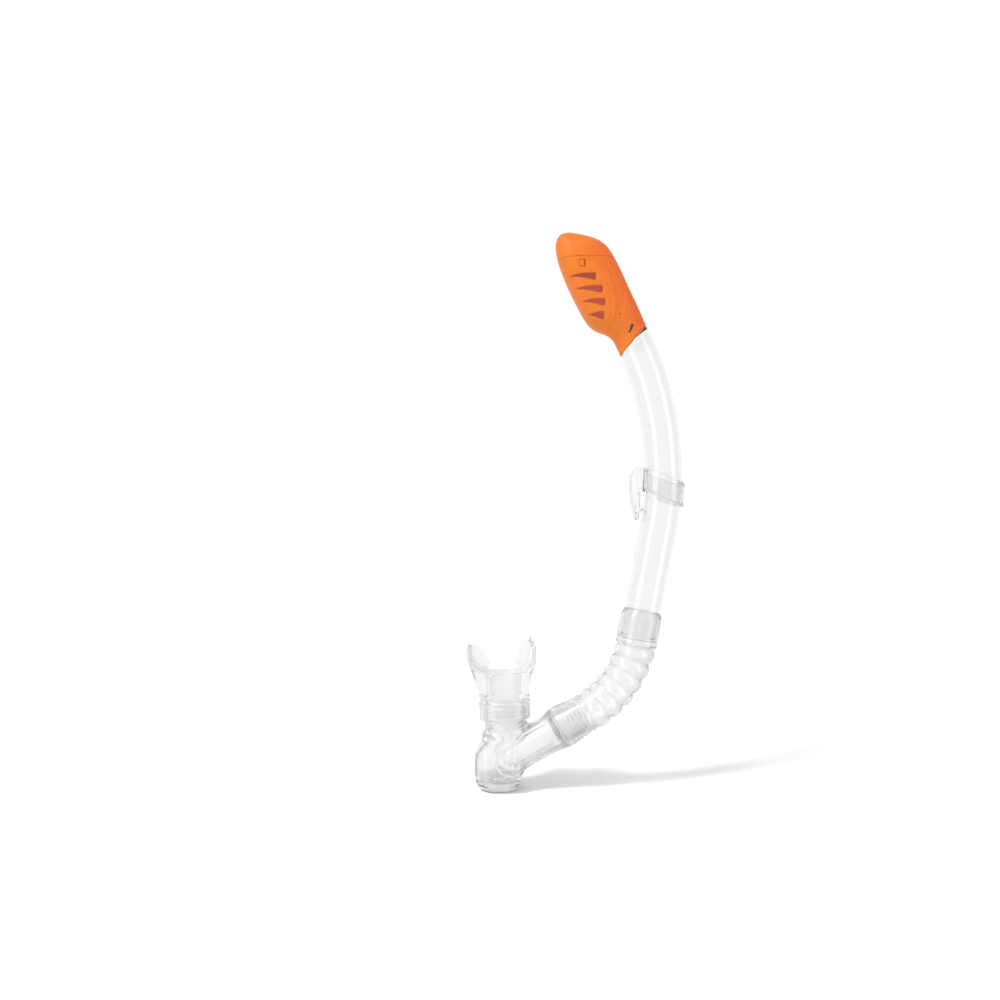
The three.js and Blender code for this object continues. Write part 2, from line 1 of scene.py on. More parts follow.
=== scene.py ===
"""A clear semi-dry snorkel with an orange splash guard, on a white studio floor.

Shapes are worked out in millimetres in the frame's axes: the snorkel lies along the XZ plane and is
mirrored about it. Thick moulded pieces are solids described by distance functions, negative inside,
and round pieces are closed profiles carried along the snorkel's centre lines.
"""

import json
import math

import bpy
import numpy as np
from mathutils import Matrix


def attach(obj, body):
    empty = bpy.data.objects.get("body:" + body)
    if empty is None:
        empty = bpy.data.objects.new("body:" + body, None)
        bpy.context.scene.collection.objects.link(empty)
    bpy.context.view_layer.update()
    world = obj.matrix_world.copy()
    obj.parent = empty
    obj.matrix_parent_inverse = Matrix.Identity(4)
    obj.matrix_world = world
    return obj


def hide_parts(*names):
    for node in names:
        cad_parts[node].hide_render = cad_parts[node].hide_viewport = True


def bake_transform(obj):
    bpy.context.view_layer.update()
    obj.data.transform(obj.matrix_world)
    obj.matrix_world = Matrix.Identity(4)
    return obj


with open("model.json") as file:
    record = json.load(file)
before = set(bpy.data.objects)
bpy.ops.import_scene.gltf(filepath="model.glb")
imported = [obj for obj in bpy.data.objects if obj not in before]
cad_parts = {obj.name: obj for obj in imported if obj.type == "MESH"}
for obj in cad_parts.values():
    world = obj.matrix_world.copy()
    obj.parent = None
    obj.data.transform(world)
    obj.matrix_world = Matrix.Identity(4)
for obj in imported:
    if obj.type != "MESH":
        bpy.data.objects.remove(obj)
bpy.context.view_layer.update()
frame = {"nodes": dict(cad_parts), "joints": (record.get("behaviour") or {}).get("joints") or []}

import openvdb
from mathutils import Vector

MM = 0.001
JOINTS = {joint["name"]: joint for joint in frame["joints"]}


def joint_place(name):
    """The X and Z of a joint, in millimetres."""
    x, _, z = JOINTS[name]["pos_m"]
    return x / MM, z / MM


# ---------------------------------------------------------------- driving dimensions
BEND_CENTRE = joint_place("keeper_slide")
CUFF_END = joint_place("elbow_swivel")

LEAN = 10.8  # of the barrel's foot, degrees from upright
BEND_RADIUS, BEND_TURN = 226.4, -37.3
BARREL_FOOT, BARREL_STRAIGHT = (101.75, 111.55), 79.0
BARREL_OUTER, BARREL_INNER = 13.0, 11.0
NECK_CUT_U, NECK_CUT_SLOPE = -4.3, 24.0  # the guard's slanted lower edge, in the head's frame
GAP = 0.3  # between pieces that could touch

HOSE_TOP, HOSE_RADIUS, HOSE_TURN = (105.5, 131.2), 69.5, 49.2
UPPER_CUFF, HOSE_TAIL, LOWER_CUFF = 26.9, 5.5, 19.4
RIB_FIRST, RIB_PITCH = 4.8, 10.2

MOUTH_LEAN, MOUTH_Z, MOUTH_X = 0.0654, 58.0, 4.2
CHAMBER_FOOT = 7.9

# ---------------------------------------------------------------- centre lines


class PlanarPath:
    """A line of straight legs and arcs in the XZ plane. Heading 0 is +Z, and 90 degrees is +X."""

    def __init__(self, start, heading, legs):
        self.legs = []
        x, z, angle, passed = start[0], start[1], math.radians(heading), 0.0
        for length, turn in legs:
            leg = (x, z, angle, math.radians(turn) / length, passed)
            self.legs.append(leg)
            passed += length
            x, z, angle = (float(value) for value in self.walk(leg, length))

    @staticmethod
    def walk(leg, distance):
        """X, Z and heading at a distance along one leg."""
        x, z, angle, curl, _ = leg
        end = angle + curl * distance
        if curl == 0:
            return x + distance * np.sin(angle), z + distance * np.cos(angle), end
        return x + (np.cos(angle) - np.cos(end)) / curl, z + (np.sin(end) - np.sin(angle)) / curl, end

    def at(self, distance):
        """X, Z and heading at each distance. The first and last legs run on past the ends."""
        distance = np.asarray(distance, float)
        found = np.zeros((3, *distance.shape))
        for i, leg in enumerate(self.legs):
            here = distance >= (leg[4] if i else -np.inf)
            found[:, here] = np.array(self.walk(leg, distance[here] - leg[4]) + np.zeros((3, 1)))
        return found


BARREL_BEND = BEND_RADIUS * math.radians(abs(BEND_TURN))
BARREL_PATH = PlanarPath(BARREL_FOOT, LEAN, [(BARREL_STRAIGHT, 0), (BARREL_BEND, BEND_TURN), (30, 0)])
HOSE_BEND = HOSE_RADIUS * math.radians(HOSE_TURN)
HOSE_PATH = PlanarPath(
    HOSE_TOP, 180 + LEAN, [(UPPER_CUFF, 0), (HOSE_BEND, HOSE_TURN), (HOSE_TAIL + LOWER_CUFF, 0)]
)
HEAD_X, HEAD_Z, HEAD_LEAN = (float(v) for v in BARREL_PATH.at(BARREL_STRAIGHT + BARREL_BEND))


def mouth_x(z):
    """Where the mouthpiece's leaning axis is at height z."""
    return MOUTH_X - MOUTH_LEAN * (z - MOUTH_Z)


def turned_with_head(directions):
    """Directions in the head's frame (v backwards, y, u along its axis), in the snorkel's axes."""
    v, y, u = directions.T
    cos, sin = math.cos(HEAD_LEAN), math.sin(HEAD_LEAN)
    return np.stack([v * cos + u * sin, y, u * cos - v * sin], axis=1)


def head_to_world(points):
    """Points in the head's frame, in the snorkel's axes."""
    return turned_with_head(points) + np.array([HEAD_X, 0, HEAD_Z])


# ---------------------------------------------------------------- distance functions


def join(a, b, rounding=0.5):
    """The union of two solids, with a fillet where they meet."""
    h = np.clip(0.5 + 0.5 * (b - a) / rounding, 0, 1)
    return b * (1 - h) + a * h - rounding * h * (1 - h)


def both(a, b, rounding=0.5):
    """What two solids share, with its new edges rounded."""
    return -join(-a, -b, rounding)


def cut(a, b, rounding=0.5):
    """Solid a without solid b."""
    return both(a, -b, rounding)


def oval(x, y, wide, deep, squareness=2.0):
    """Distance to an oval pillar of half sizes wide and deep."""
    q = (np.abs(x / wide) ** squareness + np.abs(y / deep) ** squareness) ** (1 / squareness)
    return (q - 1) * 0.5 * (wide + deep)


def between(value, low, high):
    """Distance to the slab low < value < high."""
    return np.maximum(low - value, value - high)


def smooth_step(value):
    t = np.clip(value, 0, 1)
    return t * t * (3 - 2 * t)


def bead(distance, width):
    """1 on a line, falling smoothly to nothing about two widths away from it."""
    return np.exp(-((distance / width) ** 2))


def fade(first, second, share):
    """The first value, turning into the second as the share rises to 1."""
    return first * (1 - share) + second * share


def curve(pairs):
    """A smooth function through (position, value) pairs, flat past its ends."""
    at, value = np.array(pairs, float).T
    slope = np.gradient(value, at)

    def evaluate(x):
        x = np.clip(x, at[0], at[-1])
        k = np.clip(np.searchsorted(at, x, side="right") - 1, 0, len(at) - 2)
        span = at[k + 1] - at[k]
        t = (x - at[k]) / span
        rise = (2 * t**3 - 3 * t**2 + 1) * value[k] + (3 * t**2 - 2 * t**3) * value[k + 1]
        return rise + span * ((t**3 - 2 * t**2 + t) * slope[k] + (t**3 - t**2) * slope[k + 1])

    return evaluate


def spline(points, steps, closed=False):
    """A Catmull-Rom line through 2D points, with a number of steps from each to the next."""
    p = np.array(points, float)
    if closed:
        before, after, last = np.roll(p, 1, 0), np.roll(p, -1, 0), len(p)
    else:
        before = np.vstack([2 * p[0] - p[1], p[:-1]])
        after = np.vstack([p[1:], 2 * p[-1] - p[-2]])
        last = len(p) - 1
    tangent = (after - before) / 2
    t = np.linspace(0, 1, steps, endpoint=False)[:, None]
    made = []
    for i in range(last):
        j = (i + 1) % len(p)
        made.append(
            (2 * t**3 - 3 * t**2 + 1) * p[i]
            + (t**3 - 2 * t**2 + t) * tangent[i]
            + (3 * t**2 - 2 * t**3) * p[j]
            + (t**3 - t**2) * tangent[j]
        )
    if not closed:
        made.append(p[-1:])
    return np.vstack(made)


def flat_distance(*outlines, step=0.25, margin=6.0):
    """A function of (a, b) giving the signed distance to closed 2D outlines, negative inside."""
    corners = np.vstack(outlines)
    low = corners.min(0) - margin
    size = np.ceil((corners.max(0) + margin - low) / step).astype(int) + 1
    a, b = np.meshgrid(*(low[i] + step * np.arange(size[i]) for i in range(2)), indexing="ij")
    nearest, inside = np.full(a.shape, 1e9), np.zeros(a.shape, bool)
    for outline in outlines:
        for (a0, b0), (a1, b1) in zip(outline, np.roll(outline, -1, 0)):
            da, db = a1 - a0, b1 - b0
            length = da * da + db * db
            if length < 1e-12:
                continue
            t = np.clip(((a - a0) * da + (b - b0) * db) / length, 0, 1)
            nearest = np.minimum(nearest, (a - a0 - t * da) ** 2 + (b - b0 - t * db) ** 2)
            if db != 0:
                crossed = (b0 > b) != (b1 > b)
                inside ^= crossed & (a < a0 + (b - b0) * da / db)
    table = np.sqrt(nearest) * np.where(inside, -1, 1)

    def evaluate(a, b):
        fa = np.clip((a - low[0]) / step, 0, size[0] - 1.001)
        fb = np.clip((b - low[1]) / step, 0, size[1] - 1.001)
        ia, ib = fa.astype(int), fb.astype(int)
        ta, tb = fa - ia, fb - ib
        bottom = table[ia, ib] * (1 - ta) + table[ia + 1, ib] * ta
        top = table[ia, ib + 1] * (1 - ta) + table[ia + 1, ib + 1] * ta
        return bottom * (1 - tb) + top * tb

    return evaluate


# ---------------------------------------------------------------- meshes


def slope_of(field, points, reach=0.12):
    """The field's gradient at each point."""
    made = np.empty_like(points)
    for i in range(3):
        shift = np.zeros(3)
        shift[i] = reach
        made[:, i] = (field(points + shift) - field(points - shift)) / (2 * reach)
    return made


def field_mesh(field, low, high, voxel):
    """Points, faces and normals of the surface where the field is 0, in the field's own axes."""
    axes = [np.arange(a - voxel, b + 2 * voxel, voxel) for a, b in zip(low, high)]
    y, z = (grid.ravel() for grid in np.meshgrid(axes[1], axes[2], indexing="ij"))
    layers = [field(np.stack([np.full(y.shape, x), y, z], axis=1)) for x in axes[0]]
    far = 3 * voxel
    values = np.clip(np.array(layers).reshape([len(a) for a in axes]), -far, far).astype(np.float32)
    grid = openvdb.FloatGrid(background=far)
    grid.copyFromArray(values)
    points, faces = grid.convertToQuads(0.0)
    points = np.array([a[0] for a in axes]) + points.astype(float) * voxel
    for _ in range(3):  # each round moves the points closer to where the field is 0
        slope = slope_of(field, points)
        steepness = np.maximum((slope**2).sum(1), 0.05)
        move = (field(points) / steepness)[:, None] * slope
        length = np.maximum(np.linalg.norm(move, axis=1, keepdims=True), 1e-9)
        points = points - move * np.minimum(1, 0.4 * voxel / length)
    normals = slope_of(field, points)
    normals /= np.maximum(np.linalg.norm(normals, axis=1, keepdims=True), 1e-9)
    return points, faces, normals


def swept_mesh(path, loop, sides, reshape):
    """A closed profile of (distance, radius) pairs carried round a centre line.

    reshape(distance, across, deep) moves the rings' points before they are placed on the line.
    """
    loop = np.array(loop, float)
    angle = np.linspace(0, 2 * math.pi, sides, endpoint=False)
    distance = np.repeat(loop[:, :1], sides, axis=1)
    distance, across, deep = reshape(distance, loop[:, 1:] * np.cos(angle), loop[:, 1:] * np.sin(angle))
    x, z, heading = path.at(distance)
    points = np.stack([x + across * np.cos(heading), deep, z - across * np.sin(heading)], axis=-1)
    row, column = np.meshgrid(np.arange(len(loop)), np.arange(sides), indexing="ij")
    down, beside = (row + 1) % len(loop), (column + 1) % sides
    corners = [row * sides + column, row * sides + beside, down * sides + beside, down * sides + column]
    return points.reshape(-1, 3), np.stack(corners, axis=-1).reshape(-1, 4)


def turned_outward(points, faces):
    """The faces, flipped if they face inwards."""
    a, b, c, d = (points[faces[:, i]] for i in range(4))
    volume = (np.cross(a, b) * c).sum() + (np.cross(a, c) * d).sum()
    return faces if volume > 0 else faces[:, ::-1]


def add_piece(name, points, faces, material, body, nodes, normals=None):
    """Makes a mesh object from millimetres, which stands for CAD nodes and, given a body, rides on it."""
    mesh = bpy.data.meshes.new(name)
    mesh.from_pydata((points * MM).tolist(), [], turned_outward(points, faces).tolist())
    mesh.shade_smooth()
    if normals is not None:
        mesh.normals_split_custom_set_from_vertices(normals.tolist())
    mesh.materials.append(material)
    piece = bpy.data.objects.new(name, mesh)
    bpy.context.scene.collection.objects.link(piece)
    if body is not None:
        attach(piece, body)
    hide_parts(*nodes)
    return piece


# ---------------------------------------------------------------- materials
COAT_ROUGHNESS = 0.12
DEPTH_GREY = (0.9, 0.9, 0.9, 1)  # what is left of white light after 1 / density metres
PAINTED_SHADE_REACH = 7  # how far from the head's axis the painted shade runs, from the lit front colour to the shaded back colour


class Tree:
    """Short names for building a node tree."""

    def __init__(self, tree):
        self.tree = tree

    def add(self, kind, **settings):
        node = self.tree.nodes.new(kind)
        for key, value in settings.items():
            setattr(node, key, value)
        return node

    def link(self, source, target):
        self.tree.links.new(source, target)

    def mapped(self, source, from_low, from_high, low=0, high=1):
        """The source's first range, spread over low to high."""
        node = self.add("ShaderNodeMapRange")
        limits = {"From Min": from_low, "From Max": from_high, "To Min": low, "To Max": high}
        for name, value in limits.items():
            node.inputs[name].default_value = value
        self.link(source, node.inputs["Value"])
        return node.outputs["Result"]

    def mixed(self, share, first, second):
        """The first colour, turning into the second as the share rises. Each can be another output."""
        node = self.add("ShaderNodeMix", data_type="RGBA")
        self.link(share, node.inputs["Factor"])
        for name, colour in (("A", first), ("B", second)):
            if isinstance(colour, bpy.types.NodeSocket):
                self.link(colour, node.inputs[name])
            else:
                node.inputs[name].default_value = colour
        return node.outputs["Result"]


class Nodes(Tree):
    """A material's nodes, which read places on the object."""

    def __init__(self, name):
        self.material = bpy.data.materials.new(name)
        self.material.use_nodes = True
        super().__init__(self.material.node_tree)
        self.shader = self.tree.nodes["Principled BSDF"]
        self.output = self.tree.nodes["Material Output"]
        self.place = self.add("ShaderNodeTexCoord").outputs["Object"]

    def noise(self, scale, detail=3.0):
        """Noise between 0 and 1. scale is how many features fit in a metre."""
        texture = self.add("ShaderNodeTexNoise")
        texture.inputs["Scale"].default_value = scale
        texture.inputs["Detail"].default_value = detail
        self.link(self.place, texture.inputs["Vector"])
        return texture.outputs["Fac"]

    def spread(self, noise, low, high):
        """The noise's middle range, spread over low to high."""
        return self.mapped(noise, 0.3, 0.7, low, high)

    def bump(self, source, height_mm, strength=1.0, after=None):
        node = self.add("ShaderNodeBump")
        node.inputs["Strength"].default_value = strength
        node.inputs["Distance"].default_value = height_mm * MM
        self.link(source, node.inputs["Height"])
        if after is not None:
            self.link(after, node.inputs["Normal"])
        return node.outputs["Normal"]


def let_lamps_through(n, tint, share):
    """Lets a share of the lamps' light pass straight through the surface, so its shadow is pale."""
    path = n.add("ShaderNodeLightPath")
    passed = n.add("ShaderNodeMath", operation="MULTIPLY")
    passed.inputs[1].default_value = share
    through = n.add("ShaderNodeBsdfTransparent")
    through.inputs["Color"].default_value = (*tint, 1)
    mix = n.add("ShaderNodeMixShader")
    n.link(path.outputs["Is Shadow Ray"], passed.inputs[0])
    n.link(passed.outputs[0], mix.inputs["Fac"])
    n.link(n.shader.outputs[0], mix.inputs[1])
    n.link(through.outputs[0], mix.inputs[2])
    n.link(mix.outputs[0], n.output.inputs["Surface"])


def darken_with_depth(n, density):
    """Makes thick places greyer than thin ones."""
    inside = n.add("ShaderNodeVolumeAbsorption")
    inside.inputs["Color"].default_value = DEPTH_GREY
    inside.inputs["Density"].default_value = density
    n.link(inside.outputs[0], n.output.inputs["Volume"])


def clear_plastic(
    name, tint, roughness, wave_mm, lamps, ior=1.49, grain_mm=0.0, transmission=1.0, gloss=0.0, density=0.0
):
    """Clear moulded plastic with faint flow waves. lamps is the share of lamp light it lets through."""
    n = Nodes(name)
    n.shader.inputs["Base Color"].default_value = (*tint, 1)
    n.shader.inputs["IOR"].default_value = ior
    n.shader.inputs["Transmission Weight"].default_value = transmission
    n.shader.inputs["Coat Weight"].default_value = gloss
    n.shader.inputs["Coat Roughness"].default_value = COAT_ROUGHNESS
    n.link(n.spread(n.noise(90), *roughness), n.shader.inputs["Roughness"])
    normal = n.bump(n.noise(55, 2.0), wave_mm)
    if grain_mm:
        normal = n.bump(n.noise(1400, 4.0), grain_mm, after=normal)
    n.link(normal, n.shader.inputs["Normal"])
    if density:
        darken_with_depth(n, density)
    let_lamps_through(n, tint, lamps)
    return n.material


def from_head_axis(n):
    """How far back a point is from the head's axis, as a node's output in metres."""
    turned = n.add("ShaderNodeMapping")
    turned.inputs["Rotation"].default_value = (0, -HEAD_LEAN, 0)
    axis = HEAD_X * math.cos(HEAD_LEAN) - HEAD_Z * math.sin(HEAD_LEAN)
    turned.inputs["Location"].default_value = (-axis * MM, 0, 0)
    n.link(n.place, turned.inputs["Vector"])
    split = n.add("ShaderNodeSeparateXYZ")
    n.link(turned.outputs["Vector"], split.inputs[0])
    return split.outputs["X"]


def orange_plastic(name, front, back, painted_glow=0.0):
    """Satin orange plastic with a fine grain. Its colour is painted shade: paler on the guard's lit front,
    redder on its shaded back, with a little random tone. A part can also be given painted light, an emission
    in its back colour.
    """
    n = Nodes(name)
    # painted shade: 0 on the guard's lit front, 1 on its shaded back
    shift = n.mapped(from_head_axis(n), -PAINTED_SHADE_REACH * MM, PAINTED_SHADE_REACH * MM)
    # the painted shade, with random tone from noise added to it
    flow = n.add("ShaderNodeMath", operation="ADD", use_clamp=True)
    n.link(shift, flow.inputs[0])
    n.link(n.spread(n.noise(60, 4.0), -0.15, 0.15), flow.inputs[1])
    colour = n.mixed(flow.outputs[0], (*front, 1), (*back, 1))
    n.link(colour, n.shader.inputs["Base Color"])
    n.link(n.spread(n.noise(240), 0.42, 0.54), n.shader.inputs["Roughness"])
    n.shader.inputs["Specular IOR Level"].default_value = 0.18
    grain = n.bump(n.noise(2600, 3.0), 0.02, 0.6)
    n.link(n.bump(n.noise(70, 2.0), 0.05, 0.5, after=grain), n.shader.inputs["Normal"])
    n.shader.inputs["Subsurface Weight"].default_value = 0.08
    n.shader.inputs["Subsurface Radius"].default_value = (1.0, 0.35, 0.1)
    n.shader.inputs["Subsurface Scale"].default_value = 2 * MM
    # emission: painted light, in the back colour
    n.shader.inputs["Emission Color"].default_value = (*back, 1)
    n.shader.inputs["Emission Strength"].default_value = painted_glow
    return n.material


RIGID = clear_plastic("clear_rigid_plastic", (0.935, 0.937, 0.935), (0.02, 0.06), 0.03, lamps=0.5)
ELBOW = clear_plastic(
    "clear_elbow_plastic", (0.968, 0.97, 0.968), (0.12, 0.2), 0.06, lamps=0.2, transmission=0.86
)
SOFT = clear_plastic(
    "soft_clear_vinyl", (0.915, 0.917, 0.915), (0.1, 0.18), 0.08, lamps=0.4,
    ior=1.4, grain_mm=0.004, transmission=0.87, gloss=0.4,
)
KEEPER = clear_plastic(
    "clear_keeper_vinyl", (0.945, 0.947, 0.945), (0.09, 0.16), 0.1, lamps=0.4,
    ior=1.45, grain_mm=0.004, transmission=0.92, gloss=0.5, density=80,
)
SILICONE = clear_plastic(
    "soft_clear_silicone", (0.925, 0.927, 0.925), (0.07, 0.15), 0.05, lamps=0.3,
    ior=1.4, grain_mm=0.006, transmission=0.8, gloss=0.5, density=30,
)
VALVE = clear_plastic(
    "valve_silicone", (0.9, 0.9, 0.9), (0.2, 0.35), 0.03, lamps=0.4, ior=1.42, grain_mm=0.01, transmission=0.6
)
# the first colour is the lit front and the second the redder back: painted shade
ORANGE = orange_plastic("orange_guard_plastic", (0.665, 0.17, 0.02), (0.67, 0.128, 0.023))
# The baffle: a greyer red than the guard, with an emission that paints light into the shaded hollow behind
# the slots
BAFFLE_PAINTED_LIGHT = orange_plastic("orange_baffle_painted_light", (0.72, 0.22, 0.18), (0.74, 0.2, 0.16), painted_glow=0.28)

# ---------------------------------------------------------------- splash guard, in the head's frame
HEAD_EDGE = 13.3  # how far in from its outline the guard's rounding starts
HEAD_HALF_DEPTH = 14.0  # roughly, to turn shares into millimetres
WALL = 1.8
PARTING_U = 60.2  # where the level parting line of cap and body crosses the axis
SLOT_START_U, SLOT_V, SLOT_PITCH = 56.3, -22.7, 10.25
SLOT_LENGTHS = (18.2, 18.5, 15.8, 10.6)
CAP_LATCH = (-11.2, 60.2, 2.1, 2.6)  # v, u, half width, half height
NECK_LATCH, NECK_LATCH_TURN = (-0.6, 2.9, 1.0, 3.0), math.radians(-51)
TONGUE = (-9.5, 63.5, 3.0, 8.5)  # v, u, half width, half height
TONGUE_FROM, TONGUE_TO = 10.65, 12.15  # along y
ADAPTER_INNER, ADAPTER_OUTER, ADAPTER_TOP = 8.8, 10.5, 16
ADAPTER_DROP = 1.2  # how far the adapter shows below the guard
SKIN_INSET = 0.4  # how far inside the guard's outline its plain skin lies, under the raised panel

FRONT = [
    (-13.3, -30), (-13.3, -14), (-13.3, -4), (-13.3, 3), (-15.3, 8.5), (-18.2, 11.4), (-21.4, 15.1),
    (-23.8, 20.1), (-25.1, 27), (-25.5, 40), (-25.4, 53), (-24.8, 63), (-23.8, 72), (-22.1, 79.5),
    (-19.9, 84.6), (-16.8, 88.2),
]
BACK = [
    (-12.6, 89.7), (-7.9, 88.7), (-3.8, 86), (0.7, 82.5), (5.7, 77.8), (10, 72.6), (12.9, 66.2), (14.2, 58),
    (14.3, 45), (13.8, 30), (13.8, 14), (13.6, 4), (13.4, -4), (13.4, -14), (13.4, -30),
]
CREASE = [
    (-25, -1), (-17.7, 6.9), (-12.1, 12.5), (-8.1, 17.6), (-4.6, 26), (-2.3, 34), (-0.9, 41.5), (-0.4, 48.6),
    (-1.1, 56.2), (-3.2, 63.6), (-8, 76), (-16, 92),
]
LEAF = [
    (8.1, 30.5), (1.6, 26), (-1.5, 22.5), (-4.3, 16.6), (-3.8, 11.3), (-0.6, 14.9), (2.2, 19.3), (6.6, 24.6),
]
LEAF_DIMPLE = (-3.2, 14.9)

head_outline = flat_distance(spline(FRONT + BACK, 6))
crease_line = spline(CREASE, 6)
back_region = flat_distance(np.vstack([crease_line, [(40, 92), (40, -30), (-25, -30)]]), margin=4)
leaf = flat_distance(spline(LEAF, 8, closed=True))
head_depth = curve(
    [(-14, 13.4), (3, 13.4), (14, 14.4), (30, 15.2), (56, 15.2), (70, 14.0), (80, 11.4), (90, 8.5)]
)
head_squareness = curve([(-14, 2.0), (4, 2.0), (16, 2.35), (60, 2.45), (90, 2.2)])


def slot_outline(index):
    """A level, tapered slot: pointed at the front, and blunt at the back."""
    length = SLOT_LENGTHS[index]
    corners = [
        (0, 0), (length * 0.5, -2.1), (length - 1.4, -3.9), (length - 0.3, -3.5), (length, -2.6),
        (length, 0.3), (length - 0.5, 1.2), (length - 1.4, 1.4), (length * 0.45, 1.05),
    ]
    right, up = np.array(corners).T
    cos, sin = math.cos(HEAD_LEAN), math.sin(HEAD_LEAN)
    tip_u = SLOT_START_U - index * SLOT_PITCH
    return np.stack([SLOT_V + right * cos - up * sin, tip_u + right * sin + up * cos], axis=1)


slots = flat_distance(*(slot_outline(i) for i in range(len(SLOT_LENGTHS))))


def tilted_box(v, u, centre, angle, grow=0.0):
    """Distance to a box in the (v, u) plane, turned by angle."""
    v0, u0, half_v, half_u = centre
    cos, sin = math.cos(angle), math.sin(angle)
    across = (v - v0) * cos + (u - u0) * sin
    along = (u - u0) * cos - (v - v0) * sin
    return both(np.abs(across) - half_v - grow, np.abs(along) - half_u - grow, 0.8)


def above_parting(v, u):
    """Height above the level parting line of cap and body."""
    return (u - PARTING_U) * math.cos(HEAD_LEAN) - v * math.sin(HEAD_LEAN)


def below_neck_cut(v, u, shift=0.0):
    """Distance below the guard's slanted lower edge."""
    slope = math.radians(NECK_CUT_SLOPE)
    return (NECK_CUT_U + shift - u) * math.cos(slope) + v * math.sin(slope)


def head_skin(points):
    """The guard's plump outer form: its outline, rounded over towards both sides."""
    v, y, u = points.T
    power = head_squareness(u)
    from_edge = np.clip(HEAD_EDGE + head_outline(v, u), 0, None) / HEAD_EDGE
    aside = np.abs(y) / head_depth(u)
    rounded = (from_edge**power + aside**power) ** (1 / power)
    return (rounded - 1) * HEAD_HALF_DEPTH


def past_crease(v, u):
    """Distance behind the crease, on the body's back panel. The cap counts as far behind it."""
    return -back_region(v, u) + 40 * (above_parting(v, u) > -0.2)


def panel_relief(v, u):
    """How far the back panel stands out: a strip along the crease, and a swell that fades backwards."""
    behind = past_crease(v, u)
    strip_width = 2.6 * smooth_step((u - 12) / 12) * smooth_step((66 - u) / 14)
    strip = 0.5 * smooth_step(behind / 0.8 + 0.5) - 0.6 * smooth_step((behind - strip_width) / 1.2)
    return strip + 0.6 * np.exp(-np.abs(behind - 1) / 7) * smooth_step((30 - behind) / 20)


def side_marks(v, y, u):
    """Depth of the marks on the guard's sides: the crease's groove, the leaf and its dimple."""
    groove = 0.2 * bead(past_crease(v, u) + 0.6, 0.4)
    leaf_dip = 0.22 * smooth_step(-leaf(v, u) / 0.8 + 0.2) - 0.16 * bead(leaf(v, u) - 0.6, 0.6)
    dimple = bead(np.hypot(v - LEAF_DIMPLE[0], u - LEAF_DIMPLE[1]), 0.8)
    return (groove + leaf_dip + dimple) * smooth_step((np.abs(y) - 4) / 4)


def guard_shell(points):
    """The guard's wall over its full height, with a round bore in its neck."""
    v, y, u = points.T
    skin = head_skin(points) + SKIN_INSET
    rim = 0.3 * smooth_step(1.2 - np.abs(below_neck_cut(v, u) + 1.6))
    outer = skin - panel_relief(v, u) + side_marks(v, y, u) - rim
    neck = np.hypot(v, y) - BARREL_INNER + 30 * smooth_step((u - 12) / 20)  # opens above u = 12
    return cut(outer, np.minimum(skin + WALL, neck), 0.3)


def latch_windows(v, u):
    """Distance to the openings for the cap's latch and the adapter's lug."""
    cap = tilted_box(v, u, CAP_LATCH, HEAD_LEAN)
    neck = tilted_box(v, u, NECK_LATCH, NECK_LATCH_TURN)
    return np.minimum(cap, neck)


def guard_body(points):
    """The guard below the parting line, with its slots and latch windows."""
    v, u = points[:, 0], points[:, 2]
    body = cut(guard_shell(points), slots(v, u), 0.9)
    body = cut(body, latch_windows(v, u), 0.5)
    body = both(body, below_neck_cut(v, u), 0.5)
    return both(body, above_parting(v, u), 0.2)


def guard_cap(points):
    """The hood above the parting line, with a tongue and a latch on each side."""
    v, y, u = points.T
    hood = both(guard_shell(points), 0.1 - above_parting(v, u), 0.2)
    tongue = both(between(np.abs(y), TONGUE_FROM, TONGUE_TO), tilted_box(v, u, TONGUE, 0.0), 0.4)
    latch = tilted_box(v + 0.25, u - 0.15, CAP_LATCH, HEAD_LEAN, -0.3)
    bump = both(latch, between(np.abs(y), 11.5, head_depth(u) - 0.35), 0.5)
    return join(join(hood, tongue, 0.6), bump, 0.4)


def guard_adapter(points):
    """A sleeve in the barrel's top, cut along the guard's edge, with a lug in each neck window."""
    v, y, u = points.T
    sleeve = both(between(np.hypot(v, y), ADAPTER_INNER, ADAPTER_OUTER), u - ADAPTER_TOP, 0.5)
    sleeve = both(sleeve, below_neck_cut(v, u, -ADAPTER_DROP), 0.5)
    lug = both(tilted_box(v, u, NECK_LATCH, NECK_LATCH_TURN, -0.2), between(np.abs(y), 9.5, 13.1), 0.5)
    return join(sleeve, lug, 0.5)


def add_head():
    """The guard's pieces and the adapter, meshed in the head's frame."""
    pieces = (
        ("splash_guard_body", guard_body, (-27, -16.5, -12), (16.5, 16.5, 78), 0.5, ORANGE, "guard_plastic"),
        ("splash_guard_cap", guard_cap, (-26, -16, 50), (16, 16, 92), 0.5, ORANGE, "guard_plastic"),
        ("guard_adapter", guard_adapter, (-12, -14, -13), (12, 14, 17), 0.4, RIGID, "clear_rigid"),
    )
    for node, field, low, high, voxel, material, slot in pieces:
        points, faces, normals = field_mesh(field, low, high, voxel)
        placed, turned = head_to_world(points), turned_with_head(normals)
        add_piece(node + "_visual", placed, faces, material, "barrel", [node], turned)


# ---------------------------------------------------------------- barrel


def lip(start, end, bulge=0.6):
    """The points of a rounded end that lie between its two (distance, radius) edges."""
    start, end = np.array(start, float), np.array(end, float)
    middle, half = (start + end) / 2, (start - end) / 2
    outward = np.array([half[1], -half[0]]) * bulge
    angle = np.linspace(0, math.pi, 5)[1:-1, None]
    return (middle + half * np.cos(angle) + outward * np.sin(angle)).tolist()


BARREL_TOP = BARREL_STRAIGHT + BARREL_BEND + NECK_CUT_U
FOOT_EDGE = 0.8  # where the foot's rounding starts
SLANT_LENGTH = 30  # how far before the bend's end the barrel's rings start to tilt


